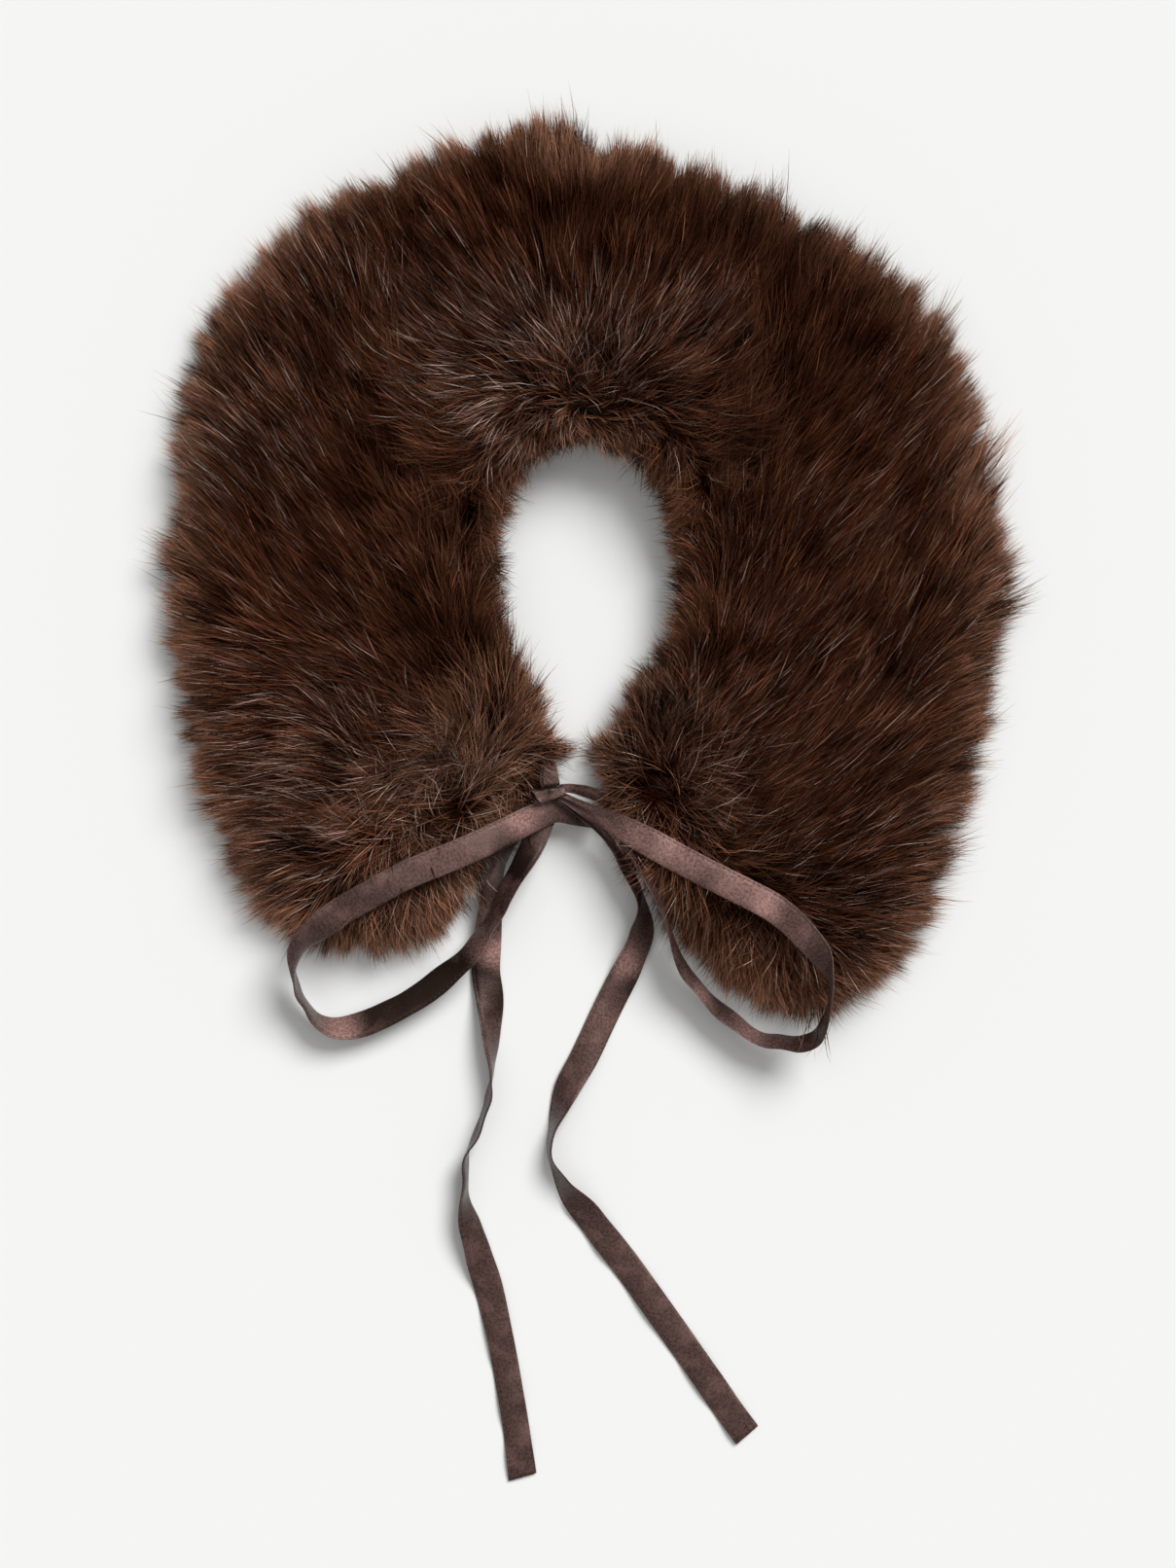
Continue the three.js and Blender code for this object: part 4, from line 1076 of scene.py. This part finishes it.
def strand_mesh(name, line, colour, shiny, draw):
    """Strands as blades: a narrow band along each middle line, rolled about it by chance, that keeps its
    width for a third of its length and then runs out to a point. Shiny ones have the second material."""
    count = len(line)
    forward = unit(np.gradient(line, axis=1))
    flat = unit(np.cross(forward, np.array([0.0, 0.0, 1.0]) + 1e-6))
    roll = draw.uniform(-0.5 * math.pi, 0.5 * math.pi, count)[:, None, None]
    across = flat * np.cos(roll) + np.cross(forward, flat) * np.sin(roll)
    half = 0.5 * ROOT_WIDTH * np.where(shiny, 0.6, draw.uniform(0.7, 1.25, count))[:, None, None]
    half = half * WIDTH_ALONG[None, :, None]
    left, right = line - across * half, line + across * half
    points = np.concatenate([np.stack([left[:, :3], right[:, :3]], 2).reshape(count, 6, 3), line[:, 3:]], 1)
    base = np.arange(count)[:, None] * 7
    quads = np.concatenate([base + np.array([0, 1, 3, 2]), base + np.array([2, 3, 5, 4])])
    tips = base + np.array([4, 5, 6])
    piece = mesh_of(name, in_frame(points.reshape(-1, 3)), quads, tips)
    shades = colour[:, [0, 0, 1, 1, 2, 2, 3]]
    layer = piece.data.color_attributes.new("fibre", "FLOAT_COLOR", "POINT")
    rgba = np.concatenate([shades, np.ones(shades.shape[:2] + (1,))], -1)
    layer.data.foreach_set("color", rgba.astype(np.float32).ravel())
    piece.data.materials.append(fur)
    piece.data.materials.append(shiny_fur)
    piece.data.polygons.foreach_set("material_index", np.tile(shiny.astype(np.int32), 3))
    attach(piece, "root")
    return piece


def fibre_colours(bundle, painted_rim_light, painted_depth_light, shiny, draw):
    """The colour at the four points along each strand, from the root's to the tip's, with a tone for each
    tuft, lock and strand, partly the fibres' own and partly painted shade between locks. The root end is
    painted shade, the rim light brings in the tip's colour as painted light, the depth light brings
    painted light towards the root, and a shiny strand has a painted glint, pale for a short stretch
    before its tip."""
    lock, tuft, _ = bundle
    count = len(lock)
    tone = (0.55 + 0.9 * scatter(tuft, 9)) * (0.12 + 1.7 * scatter(lock, 10))
    tone = (tone * draw.lognormal(0, TONE_SPREAD, count))[:, None, None]
    red = draw.normal(0, 0.04, count)[:, None, None] * np.array([1.0, 0.1, -0.6])
    # Painted shade: the root and the lower stretch darken towards the root's colour, less where the depth
    # light reaches down.
    depth = 0.24 + 0.5 * np.clip(painted_depth_light, 0, 1)[:, None]
    root = ROOT_SHADE + (MID_SHADE - ROOT_SHADE) * (depth - 0.24)
    low = ROOT_SHADE + (MID_SHADE - ROOT_SHADE) * depth
    tip = MID_SHADE + (TIP_SHADE - MID_SHADE) * (0.12 + 0.88 * np.clip(painted_rim_light, 0, 1.4)[:, None])
    # A painted glint: shiny strands turn pale for a stretch before the tip.
    painted_glint = np.where(shiny, draw.uniform(0.1, 1.0, count) ** 1.5, 0)[:, None]
    upper = MID_SHADE * 0.65 + tip * 0.35
    upper = upper + (PAINTED_GLINT_SHADE - upper) * painted_glint
    stops = np.stack([root, low, upper, tip + (PAINTED_GLINT_SHADE - tip) * 0.3 * painted_glint], 1)
    bright = PALE_SHADE * np.maximum(tone - 1.1, 0) * np.array([0, 0.2, 1, 1])[:, None]
    return np.clip(stops * np.minimum(tone, 1.1) * (1 + red) + bright, 0.001, 0.9)


def pile_material(name, roughness, gloss):
    """The fibres' material: each strand's own colour, with a soft or a strong gloss."""
    material, shade = new_material(name)
    fibre = shade.node("ShaderNodeVertexColor", {"layer_name": "fibre"})
    finish_material(
        shade,
        {
            "Base Color": fibre,
            "Roughness": roughness,
            "Specular IOR Level": gloss,
            "Specular Tint": (1.0, 0.76, 0.66, 1),
        },
    )
    return material


fur = pile_material("brown_pile", 0.45, 0.0)
shiny_fur = pile_material("shiny_pile", 0.30, 0.6)


def grow_pile(rows, plan, height, from_outer, from_neck, front, outwards, seed, count):
    """Roots scattered over a half's cloth, thicker on the ground near both edges, then their strands."""
    draw = np.random.default_rng(seed)
    corner = np.stack([plan[:-1, :-1], plan[1:, :-1], plan[1:, 1:], plan[:-1, 1:]], 2)
    cross = (corner[:, :, 2] - corner[:, :, 0]), (corner[:, :, 3] - corner[:, :, 1])
    area = 0.5 * np.abs(cross[0][..., 0] * cross[1][..., 1] - cross[0][..., 1] * cross[1][..., 0])
    rim = np.exp(-((from_outer[:-1, :-1] / 9) ** 2)) + np.exp(-((from_neck[:-1, :-1] / 7) ** 2))
    parted = 1 - np.linalg.norm(brushing(plan[:-1, :-1].reshape(-1, 2), 16.0), axis=1)
    weight = (area * (1 + 1.5 * rim)).ravel() * (1 + 1.2 * parted)
    cell = draw.choice(weight.size, count, p=weight / weight.sum())
    i, j = np.divmod(cell, plan.shape[1] - 1)
    u, v = draw.random(count), draw.random(count)

    def at(values):
        """A grid's values at the roots, by the share of each corner of the cell."""
        shares = [(1 - u) * (1 - v), u * (1 - v), u * v, (1 - u) * v]
        corners = [values[i, j], values[i + 1, j], values[i + 1, j + 1], values[i, j + 1]]
        return sum((s if c.ndim == 1 else s[:, None]) * c for s, c in zip(shares, corners))

    spots = at(plan)
    root = np.concatenate([spots, at(height)[:, None]], -1)
    near_outer = np.exp(-((at(from_outer) / 15) ** 2))
    near_neck = np.exp(-((at(from_neck) / 10) ** 2))
    over_edge = at(outwards) * (0.5 * near_outer - 1.1 * np.exp(-((at(from_neck) / 5) ** 2)))[:, None]
    towards = brushing(spots) + over_edge
    agree = np.clip(np.linalg.norm(brushing(spots, 16.0), axis=1) * (1 - spots_of(STANDING, spots)), 0, 1)
    front_edge = at(front) * near_outer
    length = PILE_LENGTH * (1 - 0.30 * near_outer - 0.48 * near_neck) * (1 - 0.3 * front_edge)
    length = length * (0.62 + 0.38 * agree)
    rise_root = 58 + 4 * (1 - agree) - 34 * near_outer - 14 * near_neck
    rise_tip = 10 + 28 * (1 - agree) - 20 * near_outer - 12 * near_neck
    clump, bunch = 0.55 + 0.20 * near_outer, 0.14 + 0.50 * near_outer + 0.25 * near_neck
    line, bundle = strands(root, towards, agree, length, rise_root, rise_tip, draw, clump, bunch)
    line = fitted(line, bundle, rows, 2, 1, OUTER_INSET + 7, draw)
    line = fitted(line, bundle, rows, 1, -1, NECK_INSET + 4, draw)
    # The spots choose more glossy strands and paint light or shade into the fibres' colour.
    gloss_and_painted_gleam = spots_of(GLOSS_AND_PAINTED_LIGHT, spots)
    shiny = draw.random(count) < SHINY_SHARE + 0.42 * gloss_and_painted_gleam
    # Painted light: tips lighter round the outer edge, more so on the left half away from the light, at the
    # neck and where the fur parts, and light brought down towards the roots where the fur parts.
    painted_rim_light = np.where(spots[:, 0] < 0, 1.35, 1.0) * near_outer + 0.6 * near_neck + 0.30 * (1 - agree)
    colour = fibre_colours(bundle, painted_rim_light, 0.9 * (1 - agree), shiny, draw)
    # Painted light and shade: the colour is raised where the fibres catch the light and lowered where they
    # turn from it.
    colour = colour * (1 + np.where(gloss_and_painted_gleam > 0, 0.15, 0.45) * gloss_and_painted_gleam)[:, None, None]
    return spots, line, colour, shiny, draw


for side, rows, seed in (("left", LEFT_SECTIONS, 21), ("right", RIGHT_SECTIONS, 22)):
    spots, line, colour, shiny, draw = grow_pile(rows, *halves[side], seed, STRANDS_PER_HALF)
    cut = np.median(spots[:, 1])
    for part, chosen in (("back", spots[:, 1] >= cut), ("front", spots[:, 1] < cut)):
        pile = strand_mesh(side + "_" + part + "_pile", line[chosen], colour[chosen], shiny[chosen], draw)


# The loose hairs.
# A few hairs of the pile that have worked over the ties or stick out of the front corner.
HAIR_LIFT = 1.2

# A row for each place: x, y and z of the roots and how far they scatter, the direction in degrees and
# the length of the hairs, and how many they are.
LOOSE_HAIRS = [
    (-56.0, -41.0, 13.0, 3.0, 292, 15, 26),
    (-29.5, -17.0, 15.5, 1.5, 288, 8, 7),
    (-23.0, 21.5, 17.0, 2.2, 7, 15, 70),
    (-24.0, 17.0, 18.5, 2.5, 335, 7, 60),
    (-31.0, 5.0, 13.0, 3.0, 318, 11, 220),
    (13.0, -2.0, 13.0, 3.0, 196, 11, 150),
    (21.0, -28.5, 31.0, 2.0, 300, 14, 14),
    (108.5, -104.0, 37.0, 4.0, 262, 17, 26),
    (-90.0, -30.0, 39.5, 14.0, 282, 11, 30),
    (60.0, -32.0, 38.5, 12.0, 250, 9, 18),
]


def loose_hairs():
    """Hairs scattered about each place in a bell curve, each a shallow arch over what it crosses."""
    draw = np.random.default_rng(41)
    row = np.repeat(np.array(LOOSE_HAIRS), [row[6] for row in LOOSE_HAIRS], axis=0)
    count = len(row)
    root = row[:, :3] + draw.normal(0, 1, (count, 3)) * row[:, 3:4] * np.array([1, 1, 0.15])
    heading = np.radians(row[:, 4] + draw.normal(0, 9, count))[:, None]
    heading = heading + draw.normal(0, 0.25, count)[:, None] * ALONG
    step = (row[:, 5] * draw.uniform(0.6, 1.15, count))[:, None] * ALONG
    arch = HAIR_LIFT * 4 * ALONG * (1 - ALONG) * draw.uniform(0.4, 1.4, count)[:, None]
    line = root[:, None, :] + np.stack([step * np.cos(heading), step * np.sin(heading), arch], -1)
    cell = np.floor(root[:, :2] / LOCK_PITCH)
    shiny = draw.random(count) < 0.3
    colour = fibre_colours((cell, cell, None), np.full(count, 0.4), np.ones(count), shiny, draw)
    return line, colour, shiny, draw


hairs = strand_mesh("loose_hairs", *loose_hairs())


# The under collar's pile.
# The same fibres, pressed flat between the under collar and the table, so that only their tips show
# round the outer edge and inside the neck.
def under_edge(rows, plan, inner, seed, count):
    """Roots in a narrow band along one edge of half the under collar, brushed square out over that edge."""
    draw = np.random.default_rng(seed)
    edge, inside = (plan[:, 0], plan[:, 1]) if inner else (plan[:, -1], plan[:, -2])
    place = draw.uniform(0, len(edge) - 1.001, count)
    i, share = np.floor(place).astype(int), (place % 1)[:, None]
    along = unit(edge[i + 1] - edge[i])
    out = np.stack([along[:, 1], -along[:, 0]], -1)
    out *= np.sign(((edge[i] - inside[i]) * out).sum(-1))[:, None]
    depth = draw.uniform(0, 9, count)[:, None]
    spots = edge[i] * (1 - share) + edge[i + 1] * share - out * depth
    root = np.concatenate([spots, draw.uniform(0.8, 4.5, count)[:, None]], -1)
    length = np.full(count, 15.0 if inner else 21.0)
    towards = unit(out + 0.9 * brushing(spots))
    flat = np.full(count, 14.0), np.full(count, -8.0)
    line, bundle = strands(root, towards, 1.0, length, *flat, draw, 0.5, 0.2)
    line = fitted(line, bundle, rows, 1 if inner else 2, -1 if inner else 1, 0, draw)
    shiny = draw.random(count) < SHINY_SHARE
    return line, fibre_colours(bundle, np.full(count, 0.5), np.zeros(count), shiny, draw), shiny


edges = [
    under_edge(rows, half[0], inner, seed, int(EDGE_STRANDS * share / 2))
    for rows, half, inner, seed, share in (
        (LEFT_SECTIONS, under_left, False, 31, 0.72),
        (LEFT_SECTIONS, under_left, True, 32, 0.28),
        (RIGHT_SECTIONS, under_right, False, 34, 0.72),
        (RIGHT_SECTIONS, under_right, True, 35, 0.28),
    )
]
line, colour, shiny = (np.concatenate(values) for values in zip(*edges))
under_pile = strand_mesh("under_pile", line, colour, shiny, np.random.default_rng(33))
